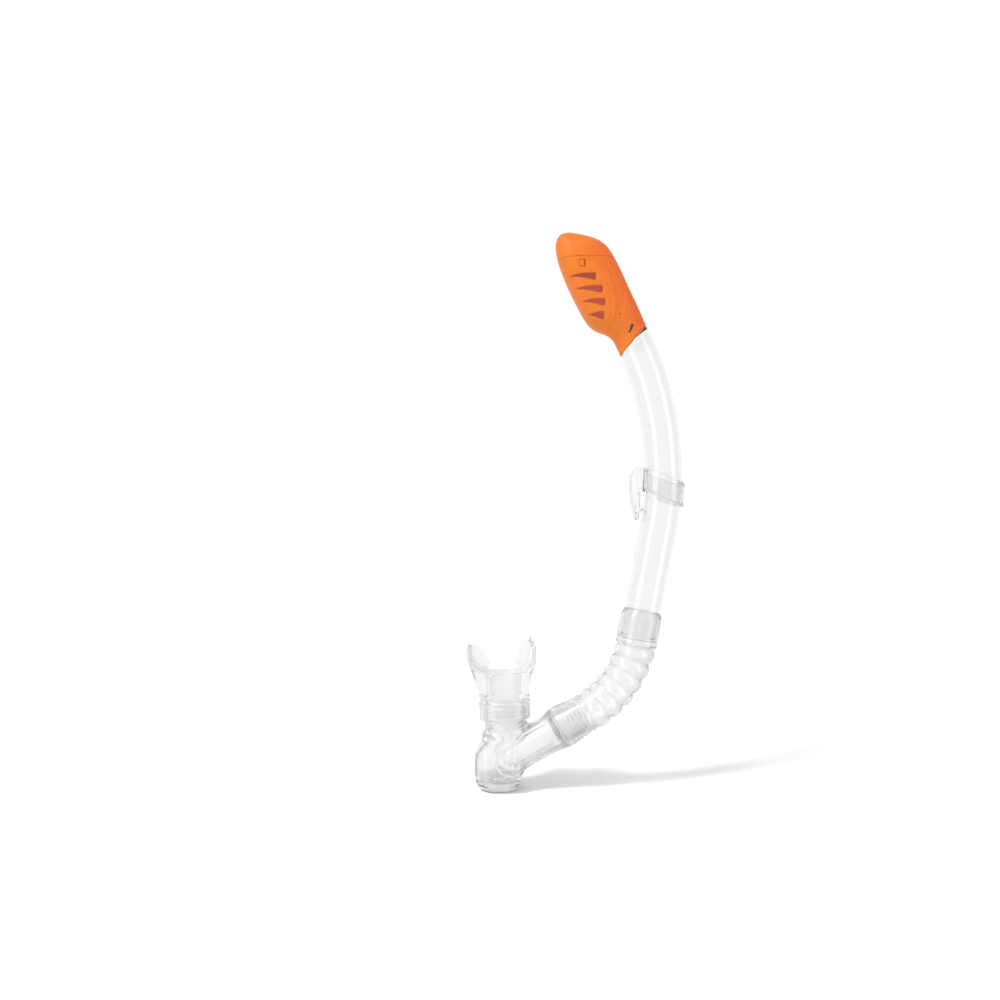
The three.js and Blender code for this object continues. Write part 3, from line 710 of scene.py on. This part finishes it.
def barrel_loop():
    """The barrel's wall as a closed (distance, radius) profile."""
    top = BARREL_TOP - 0.5
    up = np.linspace(FOOT_EDGE, top, 110)
    outer = [(s, BARREL_OUTER) for s in up]
    inner = [(s, BARREL_INNER) for s in up[::-1]]
    top_lip = lip((top, BARREL_OUTER), (top, BARREL_INNER), bulge=0.2)
    foot_lip = lip((FOOT_EDGE, BARREL_INNER), (FOOT_EDGE, BARREL_OUTER))
    return outer + top_lip + inner + foot_lip


def slanted_top(distance, across, deep):
    """Slants the barrel's top along the guard's lower edge."""
    slant_from = BARREL_STRAIGHT + BARREL_BEND - SLANT_LENGTH
    share = smooth_step((distance - slant_from) / (BARREL_TOP - slant_from))
    return distance + across * math.tan(math.radians(NECK_CUT_SLOPE)) * share, across, deep


def add_barrel():
    points, faces = swept_mesh(BARREL_PATH, barrel_loop(), sides=96, reshape=slanted_top)
    add_piece("barrel_tube_visual", points, faces, RIGID, "barrel", ["barrel_tube"])


# ---------------------------------------------------------------- hose
LOWER_START = UPPER_CUFF + HOSE_BEND + HOSE_TAIL
HOSE_END = LOWER_START + LOWER_CUFF
RIB_VALLEY, RIB_RISE = 12.8, 2.2
BEFORE_RIBS, AFTER_RIBS = 13.2, 12.95  # outside radius where the cuffs end
BEND_SWELL, BEND_SAG = 0.03, 0.9
STIFF_END = 2  # how far past its cuffs two points on the hose's centre line are worked out; they are not used
BORE_VALLEY, BORE_RISE = 11.6, 0.8
BARREL_SEAT, SEAT_BORE = 20.6, 11.4  # where the barrel's foot ends in the hose, and the bore past it
SPIGOT_BORE = 12.35
UPPER_RADIUS, UPPER_RING_PITCH = 15.3, 2.9
LOWER_RADIUS, LOWER_WIDENING, LOWER_RING_PITCH = 14.1, 1.7, 3.1


def rib_height(distance):
    """0 in the valleys between convolutions and 1 on their crests."""
    turn = math.pi * (distance - UPPER_CUFF - RIB_FIRST) / RIB_PITCH
    return np.abs(np.cos(turn)) ** 0.7


def upper_cuff(s):
    """Outside radius of the upper cuff: it tapers at its top and has fine grooves."""
    taper = 2.0 * np.clip((5.2 - s) / 5, 0, 1) ** 1.3
    grooves = 1 - np.abs(np.sin(math.pi * (s - 9.5) / UPPER_RING_PITCH))
    return UPPER_RADIUS - taper - 0.2 * grooves * smooth_step(s - 3) * smooth_step(25.5 - s)


def lower_cuff(s):
    """Outside radius of the lower cuff: it widens towards the elbow and has rings."""
    widening = LOWER_WIDENING * smooth_step((s - LOWER_START) / LOWER_CUFF)
    rings = 0.32 * np.cos(2 * math.pi * (s - LOWER_START) / LOWER_RING_PITCH)
    return LOWER_RADIUS + widening + rings * smooth_step((HOSE_END - 1.5 - s) / 2)


def hose_outer(s):
    """The hose's outside radius at a distance from its top."""
    ribs = RIB_VALLEY + RIB_RISE * rib_height(s)
    top = fade(upper_cuff(s), BEFORE_RIBS, smooth_step((s - UPPER_CUFF + 1.4) / 1.4))
    bottom = fade(AFTER_RIBS, lower_cuff(s), smooth_step((s - LOWER_START + 0.6) / 1.2))
    return np.where(s <= UPPER_CUFF, top, np.where(s > LOWER_START - 0.6, bottom, ribs))


def hose_inner(s):
    """The hose's bore radius: it fits the barrel, follows the ribs and fits the elbow's spigot."""
    ribs = BORE_VALLEY + BORE_RISE * rib_height(s)
    radius = fade(BARREL_OUTER + 0.15, SEAT_BORE, smooth_step((s - BARREL_SEAT) / 1.4))
    radius = fade(radius, ribs, smooth_step((s - UPPER_CUFF - 0.5) / 1.5))
    return fade(radius, SPIGOT_BORE, smooth_step((s - LOWER_START + 1) / 2.5))


def hose_bulge(distance, across, deep):
    """In the bend, the convolutions swell on the outside, and the whole sags a little."""
    bent = smooth_step((distance - UPPER_CUFF - 2) / 14) * smooth_step((LOWER_START - distance) / 14)
    grown = 1 - BEND_SWELL * rib_height(distance) * bent * across / np.hypot(across, deep)
    return distance, across * grown + BEND_SAG * bent, deep * grown


def add_hose():
    """One mesh for both of the hose's nodes, curved between its cuffs."""
    stretches = (
        (0.5, UPPER_CUFF, 60),
        (UPPER_CUFF + 0.3, LOWER_START - 0.3, 170),
        (LOWER_START, HOSE_END - 0.5, 60),
    )
    down = np.concatenate([np.linspace(*stretch) for stretch in stretches])
    outer = list(zip(down, hose_outer(down)))
    inner = list(zip(down[::-1], hose_inner(down[::-1])))
    loop = outer + lip(outer[-1], inner[0]) + inner + lip(inner[-1], outer[0])
    points, faces = swept_mesh(HOSE_PATH, loop, sides=80, reshape=hose_bulge)
    hose = add_piece("hose_visual", points, faces, SOFT, None, ["hose_upper", "hose_lower"])
    start, end = (HOSE_PATH.at(s) * MM for s in (UPPER_CUFF + STIFF_END, LOWER_START - STIFF_END))
    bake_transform(hose)


# ---------------------------------------------------------------- elbow
BRANCH_HEADING = math.radians(180 + LEAN + HOSE_TURN)
BRANCH_LENGTH, BRANCH_RADIUS, BRANCH_BORE = 56, 13.8, 10.0
CHAMBER_APOTHEM, CHAMBER_TOP, CHAMBER_WALL = 18.3, 41, 2.8
CORNER_SHARE = 1.08  # how far the diagonal faces are from the middle, against the others
SPIGOT_WIDE, SPIGOT_DEEP = 15.2, 12.4
COLLAR_Z, COLLAR_SLOPE = 41.8, 0.315  # the upper collar's height at the spigot's left, and its rise per mm
BARB_PITCH = 3.3
ELBOW_OUTLINE = [
    (-16.6, 7.9), (-17.4, 11), (-17.9, 16), (-18, 22), (-17.6, 25.5), (-15.4, 29.6), (-12.6, 33.6),
    (-10.9, 36), (-12.1, 37.2), (-12.7, 39.4), (-11.9, 41.8), (-10.7, 43), (-10.8, 47), (-11.3, 56),
    (-11.5, 62.5), (19.2, 62.5), (19.7, 56), (20, 52), (20.9, 50.3), (23, 49.3), (25.5, 49.1), (28.4, 50.6),
    (31.5, 53.6), (34.6, 56.9), (37.4, 59), (53.3, 31.7), (44, 27.8), (34, 23.6), (26, 18.9), (20.5, 15.2),
    (17.3, 12.2), (15.8, 9.8), (15.2, 7.9),
]
elbow_outline = flat_distance(np.array(ELBOW_OUTLINE))
branch_taper = curve([(0, 15.6), (3, 15.1), (8, 14.1), (15, 13.3), (22, 13.0)])
chamber_deep = curve([(7, 16.6), (14, 16.8), (24, 16.2), (34, 14.0), (42, 12.6), (64, 12.4)])
spigot_shift = curve([(30, 0.2), (50, 0.2), (64, 0)])


def branch_axes(x, z):
    """Distance along the branch from the cuff's end into the elbow, and across it upwards."""
    dx, dz = x - CUFF_END[0], z - CUFF_END[1]
    along = dx * math.sin(BRANCH_HEADING) + dz * math.cos(BRANCH_HEADING)
    upward = dz * -math.sin(BRANCH_HEADING) + dx * math.cos(BRANCH_HEADING)
    return along, upward


def faceted(x, y, apothem, deep):
    """Distance to an eight-sided pillar, wide on its front, back and sides."""
    y = y * apothem / deep
    sides = both(np.abs(x) - apothem, np.abs(y) - apothem, 1.5)
    diagonal = (np.abs(x) + np.abs(y)) * math.sqrt(0.5) - apothem * CORNER_SHARE
    return both(sides, diagonal, 1.5)


def spigot(x, y, z, wide, deep):
    """Distance to the oval pillar along the mouthpiece's leaning axis."""
    return oval(x - mouth_x(z) + spigot_shift(z), y, wide, deep)


def chamber(x, y, z, inset=0.0):
    """The upright chamber: eight-sided, with shoulders that slope in to the spigot."""
    pillar = faceted(x, y, CHAMBER_APOTHEM - inset, chamber_deep(z) - inset)
    return both(pillar, z - CHAMBER_TOP + inset, 3.0)


def branch_ridges(y, along, upward):
    """Height of the ridge round the end of the branch's side panel, between two grooves."""
    from_ridge = np.hypot(np.maximum(along - 42, 0), upward) - 10.3
    grooves = 0.7 * bead(from_ridge - 1.7, 0.6) + 0.7 * bead(from_ridge + 3.2, 0.7)
    ridge = 1.1 * bead(from_ridge, 0.7) - grooves
    return ridge * smooth_step((np.abs(y) - 5) / 3) * smooth_step((along - 6) / 5)


def elbow_outside(x, y, z):
    """Chamber, branch and spigot, trimmed to the elbow's outline, with two collars and the hose's pipe."""
    along, upward = branch_axes(x, z)
    radius = np.hypot(upward, y)
    tapered = radius - np.maximum(branch_taper(along), BRANCH_RADIUS)
    branch = both(tapered, between(along, GAP, BRANCH_LENGTH), 0.5)
    outside = both(join(chamber(x, y, z), branch, 2.5), CHAMBER_FOOT - z, 0.6)
    pipe = both(spigot(x, y, z, SPIGOT_WIDE, SPIGOT_DEEP), between(z, 32, 62), 0.5)
    outside = both(join(outside, pipe, 5.0), elbow_outline(x, z), 1.4)
    outside = outside - branch_ridges(y, along, upward)
    collar_line = COLLAR_Z + (x + 10.3) * COLLAR_SLOPE
    for drop, size in ((0, 1.0), (3.4, 0.8)):
        above = (z - collar_line + drop) * 0.95
        collar = np.hypot(spigot(x, y, z, SPIGOT_WIDE, SPIGOT_DEEP + 0.2), above) - size
        outside = join(outside, both(collar, x - 19, 1.0), 0.5)
    barbs = 0.45 * np.abs(np.sin(math.pi * along / BARB_PITCH)) * smooth_step(-along)
    hose_pipe = both(radius - 11.75 - barbs, between(along, -16.5, 8), 0.6)
    return join(outside, hose_pipe, 0.6)


def elbow_room(x, y, z):
    """The air space: chamber, spigot, branch and the opening for the purge valve."""
    along, upward = branch_axes(x, z)
    radius = np.hypot(upward, y)
    silhouette = elbow_outline(x, z)
    room = both(chamber(x, y, z, CHAMBER_WALL), silhouette + CHAMBER_WALL, 2.0)
    pipe = spigot(x, y, z, SPIGOT_WIDE - 2.0, SPIGOT_DEEP - 1.8)
    room = join(both(room, 4 - z, 0.5), both(pipe, 30 - z, 0.5), 1.5)
    widened = radius - BRANCH_BORE - smooth_step((along - 1) / 6)
    bore = both(both(widened, between(along, -30, 44), 0.5), silhouette + 2.5, 1.0)
    mouth = both(widened, -30 - along, 0.5)
    room = join(room, np.where(along < 2, mouth, bore), 1.0)
    return join(room, both(np.hypot(x, y) - 14.9, z - 11, 0.3), 0.3)


def elbow(points):
    x, y, z = points.T
    return cut(elbow_outside(x, y, z), elbow_room(x, y, z), 0.5)


def cover_dish(x, y, z, inset):
    """The purge cover's eight-sided dish: a low slope up to a knee, and a nearly upright rim."""
    knee = 15.1 - inset * 0.9
    low = 0.53 * (faceted(x, y, 1.0, 0.95) - 9.7 + inset) - 0.848 * z
    high = 0.9 * (faceted(x, y, knee, knee * 0.96) - (z - 4.0) * 0.42)
    return both(both(low, high, 0.6), inset - z, 0.5)


def purge_cover(points):
    """A dish under the valve, with a vent in each of its four diagonal sides."""
    x, y, z = points.T
    cover_x = x + 0.8 * smooth_step(z / 8)
    shell = cut(cover_dish(cover_x, y, z, 0), cover_dish(cover_x, y, z, 1.9), 0.4)
    shell = both(shell, z - 7.6, 0.4)
    across = np.abs(np.abs(x) - np.abs(y)) * math.sqrt(0.5)
    outward = (np.abs(x) + np.abs(y)) * math.sqrt(0.5)
    vent = both(both(across - 3.5, between(z, 4.2, 6.2), 0.8), 8 - outward, 0.5)
    return cut(shell, vent, 0.4)


def purge_seat(points):
    """A ring with six spokes, whose hub holds the valve's stem."""
    x, y, z = points.T
    radius = np.hypot(x, y)
    low, high = CHAMBER_FOOT, CHAMBER_FOOT + 2.8
    ring = both(between(radius, 10.6, 14.6), between(z, low, high), 0.4)
    angles = np.radians([0, 60, 120])
    spokes = np.minimum.reduce([np.abs(x * math.sin(a) - y * math.cos(a)) - 0.9 for a in angles])
    spider = both(both(spokes, radius - 11.5, 0.4), between(z, low + 0.8, high), 0.4)
    hub = both(radius - 3.4, between(z, low + 0.6, high), 0.4)
    return cut(join(join(ring, spider, 0.5), hub, 0.5), radius - 2.0, 0.3)


def purge_valve(points):
    """A mushroom valve: a thin domed disc under its seat, on a stem with a bulb that holds it."""
    x, y, z = points.T
    radius = np.hypot(x, y)
    top = CHAMBER_FOOT - GAP
    dome = top - 1.1 - 0.4 * (1 - (radius / 12) ** 2)
    disc = both(radius - 12, between(z, dome, top), 0.35)
    stem = both(radius - 1.6, between(z, top - 0.5, 14.0), 0.4)
    bulb = both(radius - 2.5 + 0.5 * np.clip(z - 12.7, 0, 3), between(z, 12.7, 14.4), 0.5)
    return join(join(disc, stem, 0.6), bulb, 0.3)


# ---------------------------------------------------------------- mouthpiece
TAB_LEFT = [
    (-21.8, 105.6), (-14, 105.1), (-11.6, 102.8), (-10.5, 99.5), (-8.6, 96.4), (-6.6, 92.4), (-7.2, 89),
    (-10.5, 86), (-20, 86),
]
TAB_RIGHT = [
    (23.8, 109.6), (16, 108.4), (14.2, 105.6), (13.6, 99.7), (12.1, 96.4), (10.7, 92.4), (15, 89.2),
    (17.5, 86), (21.5, 86),
]
SHIELD_OUTSIDE = [
    (-21.7, 108.4), (-23.3, 104.5), (-23.5, 100.7), (-23.0, 94.8), (-20.6, 87.5), (-17.6, 80.1), (-15, 73),
    (-13.4, 69), (4, 66), (20.9, 69), (21.3, 73), (22, 78), (23.6, 84), (26.0, 91), (26.9, 98.5),
    (26.4, 106), (23.4, 112.2),
]
SHIELD_INSIDE = [
    (22.2, 110.5), (23.9, 105), (24.3, 98.5), (23, 92), (19.6, 88), (10, 86.3), (0.7, 84.8), (-9.5, 86.5),
    (-16.6, 89.2), (-20, 94.5), (-21.2, 101), (-20.8, 106),
]
CUFF_FOOT, CUFF_TOP = 51.6, 86
CUFF_GROOVES = ((55.0, 0.35, 0.42), (58.4, 0.35, 0.42), (61.8, 0.35, 0.42), (65.5, 0.3, 0.5))

shield_section = flat_distance(np.vstack([spline(SHIELD_OUTSIDE, 6), spline(SHIELD_INSIDE, 6)]))
shield_half_depth = curve(
    [(64, 14.2), (76, 15.4), (86, 16.6), (97, 15.6), (105, 12.4), (110, 7.6), (112.6, 2.5)]
)
tabs = flat_distance(np.array(TAB_LEFT), np.array(TAB_RIGHT))
cuff_wide = curve(
    [(50, 18), (52.5, 18.6), (60, 18.8), (64.6, 18.9), (66, 18.4), (70, 18), (75, 18.2), (86, 20.5)]
)
cuff_deep = curve([(50, 14.4), (52.5, 15.2), (64.6, 15.3), (66, 14.6), (76, 14.6), (86, 15.8)])
cuff_shift = curve([(60, 0), (66, 0.4), (76, 0.6)])


def smile_dip(x, y, z):
    """Depth of the round hollow on the shield's front and back, below the mouth's opening."""
    smile = np.hypot((x - 1.6) / 8.5, (z - 86.5) / 5.6) - 1
    return 0.45 * smooth_step(-smile * 5) * smooth_step((np.abs(y) - 8) / 2)


def bite_tabs(x, y, z):
    """The two tabs held between the teeth, with a knurled grip."""
    knurl = 0.28 * np.sin(2 * math.pi * z / 2.6) * np.sin(2 * math.pi * x / 3.4)
    half_thick = 2.3 + knurl * smooth_step(-tabs(x, z) / 1.5)
    return both(tabs(x, z), np.abs(y) - half_thick, 1.4)


def mouthpiece(points):
    """A cuff that grips the spigot and widens into the lip shield, with the throat and bite tabs."""
    x, y, z = points.T
    cuff_x = x - mouth_x(z) - cuff_shift(z)
    level = z - MOUTH_LEAN * (x - MOUTH_X)  # measured square to the leaning axis
    cuff = oval(cuff_x, y, cuff_wide(level), cuff_deep(level), 2.2)
    outside = both(cuff, both(CUFF_FOOT - level, z - CUFF_TOP, 0.1), 0.8)
    for height, depth, width in CUFF_GROOVES:
        outside = outside + depth * bead(level - height, width)
    shield = both(shield_section(x, z), np.abs(y) - shield_half_depth(z), 1.6)
    outside = join(outside, shield, 2.5) + smile_dip(x, y, z)
    socket = both(spigot(x, y, z, SPIGOT_WIDE + 0.2, SPIGOT_DEEP + 0.4), level - 63, 0.6)
    flare = 1.2 * smooth_step((z - 79) / 8)
    throat = both(oval(cuff_x, y, 12.6 + flare, 9.8 + flare, 2.4), between(z, 58, 120), 0.5)
    hollowed = cut(cut(outside, socket, 0.5), throat, 1.2)
    return join(hollowed, bite_tabs(x, y, z), 1.2)


# ---------------------------------------------------------------- strap keeper
KEEPER_X, KEEPER_Z, KEEPER_SLANT = 120.06, 221.0, math.radians(20)
BAND_RADIUS, BAND_FOOT, BAND_TOP = 15.3, -5.2, 7.6
BAND_STEP = 2.8  # how much lower the band's foot is on its right
HOOK = [
    (-14.2, 11.6), (-14.4, 14.6), (-17.4, 15.2), (-20.2, 14.2), (-23.4, 10.6), (-23.9, 3), (-23.4, -8),
    (-21.6, -17.6), (-20.6, -23.0), (-19.2, -23.6), (-18, -22.6), (-17.2, -18.8), (-14.6, -16.6),
    (-14.5, -15.6), (-15.8, -14.9), (-16.8, -13.2), (-16.4, -5), (-15.6, 4),
]
hook = flat_distance(spline(HOOK, 6, closed=True))
knuckle = flat_distance(np.array([(-10.5, 13.0), (-16.4, 13.6), (-17, -3.4), (-10.5, -3.0)]))


def keeper(points):
    """A slanted band round the barrel with raised rims, and the hook for the mask's strap."""
    x, y, z = points.T
    dx, dz = x - KEEPER_X, z - KEEPER_Z
    across = np.hypot(x - BEND_CENTRE[0], z - BEND_CENTRE[1]) - BEND_RADIUS
    radius = np.hypot(across, y)
    slanted = dx * math.sin(KEEPER_SLANT) + dz * math.cos(KEEPER_SLANT)
    foot = BAND_FOOT - BAND_STEP * smooth_step(dx + 3.0)
    rims = smooth_step((slanted - BAND_TOP + 1.9) / 0.5) + smooth_step((foot + 1.8 - slanted) / 0.5)
    band = both(radius - BAND_RADIUS, between(slanted, foot, BAND_TOP), 0.8) - 0.35 * rims
    grooves = 0.4 * (bead(dx + 18.5, 0.5) + bead(dx + 21.2, 0.5))
    bar = both(hook(dx, dz), np.abs(y) - 6.4 + grooves, 3.0)
    bridge = both(knuckle(dx, dz), np.abs(y) - 5.4, 1.5)
    whole = join(join(band, bar, 0.8), bridge, 1.2)
    return cut(whole, radius - BARREL_OUTER - 0.25, 0.4)


def add_moulded():
    """The pieces that are meshed upright, in the snorkel's own axes."""
    clear, soft, silicone = "clear_rigid", "clear_soft", "mouthpiece_soft"
    pieces = (
        ("elbow_body", elbow, (-20, -18.5, 6), (62, 18.5, 64), 0.5, ELBOW, "elbow", clear),
        ("purge_cover", purge_cover, (-18, -18, -0.5), (18, 18, 8.5), 0.4, ELBOW, "elbow", clear),
        ("purge_seat", purge_seat, (-15.5, -15.5, 7), (15.5, 15.5, 11.5), 0.4, ELBOW, "elbow", clear),
        ("purge_valve", purge_valve, (-13, -13, 5), (13, 13, 15), 0.35, VALVE, "valve", "valve_silicone"),
        ("mouthpiece", mouthpiece, (-25, -18, 50), (28.5, 18, 114), 0.5, SILICONE, "elbow", silicone),
        ("strap_keeper", keeper, (94, -17, 195), (137, 17, 239), 0.45, KEEPER, "keeper", soft),
    )
    for node, field, low, high, voxel, material, body, slot in pieces:
        points, faces, normals = field_mesh(field, low, high, voxel)
        add_piece(node + "_visual", points, faces, material, body, [node], normals)


def finish_baffle():
    """The baffle keeps its CAD shape, in a greyer red orange whose emission paints light into the shaded
    hollow behind the slots.
    """
    baffle = frame["nodes"]["splash_baffle"]
    baffle.data.materials.clear()
    baffle.data.materials.append(BAFFLE_PAINTED_LIGHT)


# ---------------------------------------------------------------- studio
FRAME_WIDTH = 0.735  # what the camera sees across, at the snorkel's plane
CAMERA_BACK = 0.6
CAMERA_X, CAMERA_Z = 0.0007, 0.175
FRAME_MIDDLE_Z = 0.212
KEY_FROM = (-0.54, -0.38, 0.78)
FLOOR_HALF, FLOOR_Z = 12.0, -0.0002

# How bright the room is for reflections, from behind the camera (0) to behind the snorkel (1).
ROOM = ((0.0, 0.9), (0.1, 0.92), (0.13, 3.6), (0.29, 3.6), (0.33, 0.84), (0.5, 0.8), (0.7, 0.9), (0.9, 1.0))
ROOM_PEAK = 4.0
ROOM_AHEAD, ROOM_ASIDE = 1.05, 0.8  # what shows through the clear pieces, along and across the Y axis
STRIP_FULL, STRIP_END = 0.42, 0.6  # the softboxes are bright up to the first height, and end at the second
ROOM_ENDS = 0.9  # above and below the softboxes
SOFT_LIGHT = 0.76  # on matt surfaces
BACKDROP = 1.0


def add_camera():
    data = bpy.data.cameras.new("camera")
    data.sensor_width = 36
    data.lens = data.sensor_width * CAMERA_BACK / FRAME_WIDTH
    data.shift_y = (FRAME_MIDDLE_Z - CAMERA_Z) / FRAME_WIDTH
    data.clip_start = 0.01
    camera = bpy.data.objects.new("camera", data)
    camera.location = (CAMERA_X, -CAMERA_BACK, CAMERA_Z)
    camera.rotation_euler = (math.pi / 2, 0, 0)
    bpy.context.scene.collection.objects.link(camera)
    bpy.context.scene.camera = camera


def add_sun():
    """The key light, from the left, in front and above. Its width softens the shadow's far end."""
    data = bpy.data.lights.new("key", "SUN")
    data.energy = 2.1
    data.angle = math.radians(13)
    data.color = (1.0, 0.985, 0.96)
    sun = bpy.data.objects.new("key", data)
    sun.rotation_euler = Vector(KEY_FROM).to_track_quat("Z", "Y").to_euler()
    bpy.context.scene.collection.objects.link(sun)


def add_floor():
    """A white floor that only the camera and the soft light see, so the clear pieces stay even."""
    corners = [(x * FLOOR_HALF, y * FLOOR_HALF, 0) for x, y in ((-1, -1), (1, -1), (1, 1), (-1, 1))]
    mesh = bpy.data.meshes.new("floor")
    mesh.from_pydata(corners, [], [(0, 1, 2, 3)])
    n = Nodes("pale_floor")
    n.shader.inputs["Base Color"].default_value = (0.92, 0.92, 0.95, 1)
    n.shader.inputs["Specular IOR Level"].default_value = 0.0
    n.link(n.spread(n.noise(3.0), 0.75, 0.85), n.shader.inputs["Roughness"])
    mesh.materials.append(n.material)
    floor = bpy.data.objects.new("floor", mesh)
    floor.location.z = FLOOR_Z
    floor.visible_glossy = False
    floor.visible_transmission = False
    bpy.context.scene.collection.objects.link(floor)


def grey(light):
    """A light level as a colour for the world, whose strength is ROOM_PEAK."""
    return [light / ROOM_PEAK] * 3 + [1]


class Room(Tree):
    """The world's nodes, which read the direction that a ray leaves in."""

    def __init__(self, name):
        self.world = bpy.data.worlds.new(name)
        self.world.use_nodes = True
        super().__init__(self.world.node_tree)
        self.background = self.tree.nodes["Background"]
        place = self.add("ShaderNodeTexCoord")
        self.heading = self.add("ShaderNodeSeparateXYZ")
        self.link(place.outputs["Generated"], self.heading.inputs[0])

    def size_of(self, axis):
        """How far a ray leans along an axis, either way, from 0 to 1."""
        node = self.add("ShaderNodeMath", operation="ABSOLUTE")
        self.link(self.heading.outputs[axis], node.inputs[0])
        return node.outputs[0]

    def ramp(self, source, stops):
        """Light levels at (place, level) stops, as a colour that runs smoothly between them."""
        node = self.add("ShaderNodeValToRGB")
        self.link(source, node.inputs["Fac"])
        elements = node.color_ramp.elements
        while len(elements) < len(stops):
            elements.new(0.5)
        for element, (at, light) in zip(elements, stops):
            element.position = at
            element.color = grey(light)
        return node.outputs["Color"]


def add_world():
    """White to the camera, two strips of softboxes for reflections, and an even soft light."""
    room = Room("studio")
    boxes = room.ramp(room.mapped(room.heading.outputs["Y"], -1, 1), ROOM)
    past_strips = room.mapped(room.size_of("Z"), STRIP_FULL, STRIP_END)
    colour = room.mixed(past_strips, boxes, grey(ROOM_ENDS))
    through = room.mapped(room.size_of("Y"), 0, 1, ROOM_ASIDE / ROOM_PEAK, ROOM_AHEAD / ROOM_PEAK)
    seen = {
        "Is Transmission Ray": through,
        "Is Diffuse Ray": grey(SOFT_LIGHT),
        "Is Camera Ray": grey(BACKDROP),
    }
    path = room.add("ShaderNodeLightPath")
    for rays, light in seen.items():
        colour = room.mixed(path.outputs[rays], colour, light)
    room.link(colour, room.background.inputs["Color"])
    room.background.inputs["Strength"].default_value = ROOM_PEAK
    bpy.context.scene.world = room.world


def set_studio():
    add_camera()
    add_floor()
    add_world()
    add_sun()
    scene = bpy.context.scene
    scene.view_settings.view_transform = "Standard"
    scene.cycles.max_bounces = 16
    scene.cycles.transmission_bounces = 16
    scene.cycles.transparent_max_bounces = 16


# ---------------------------------------------------------------- build
set_studio()
add_head()
add_barrel()
add_hose()
add_moulded()
finish_baffle()
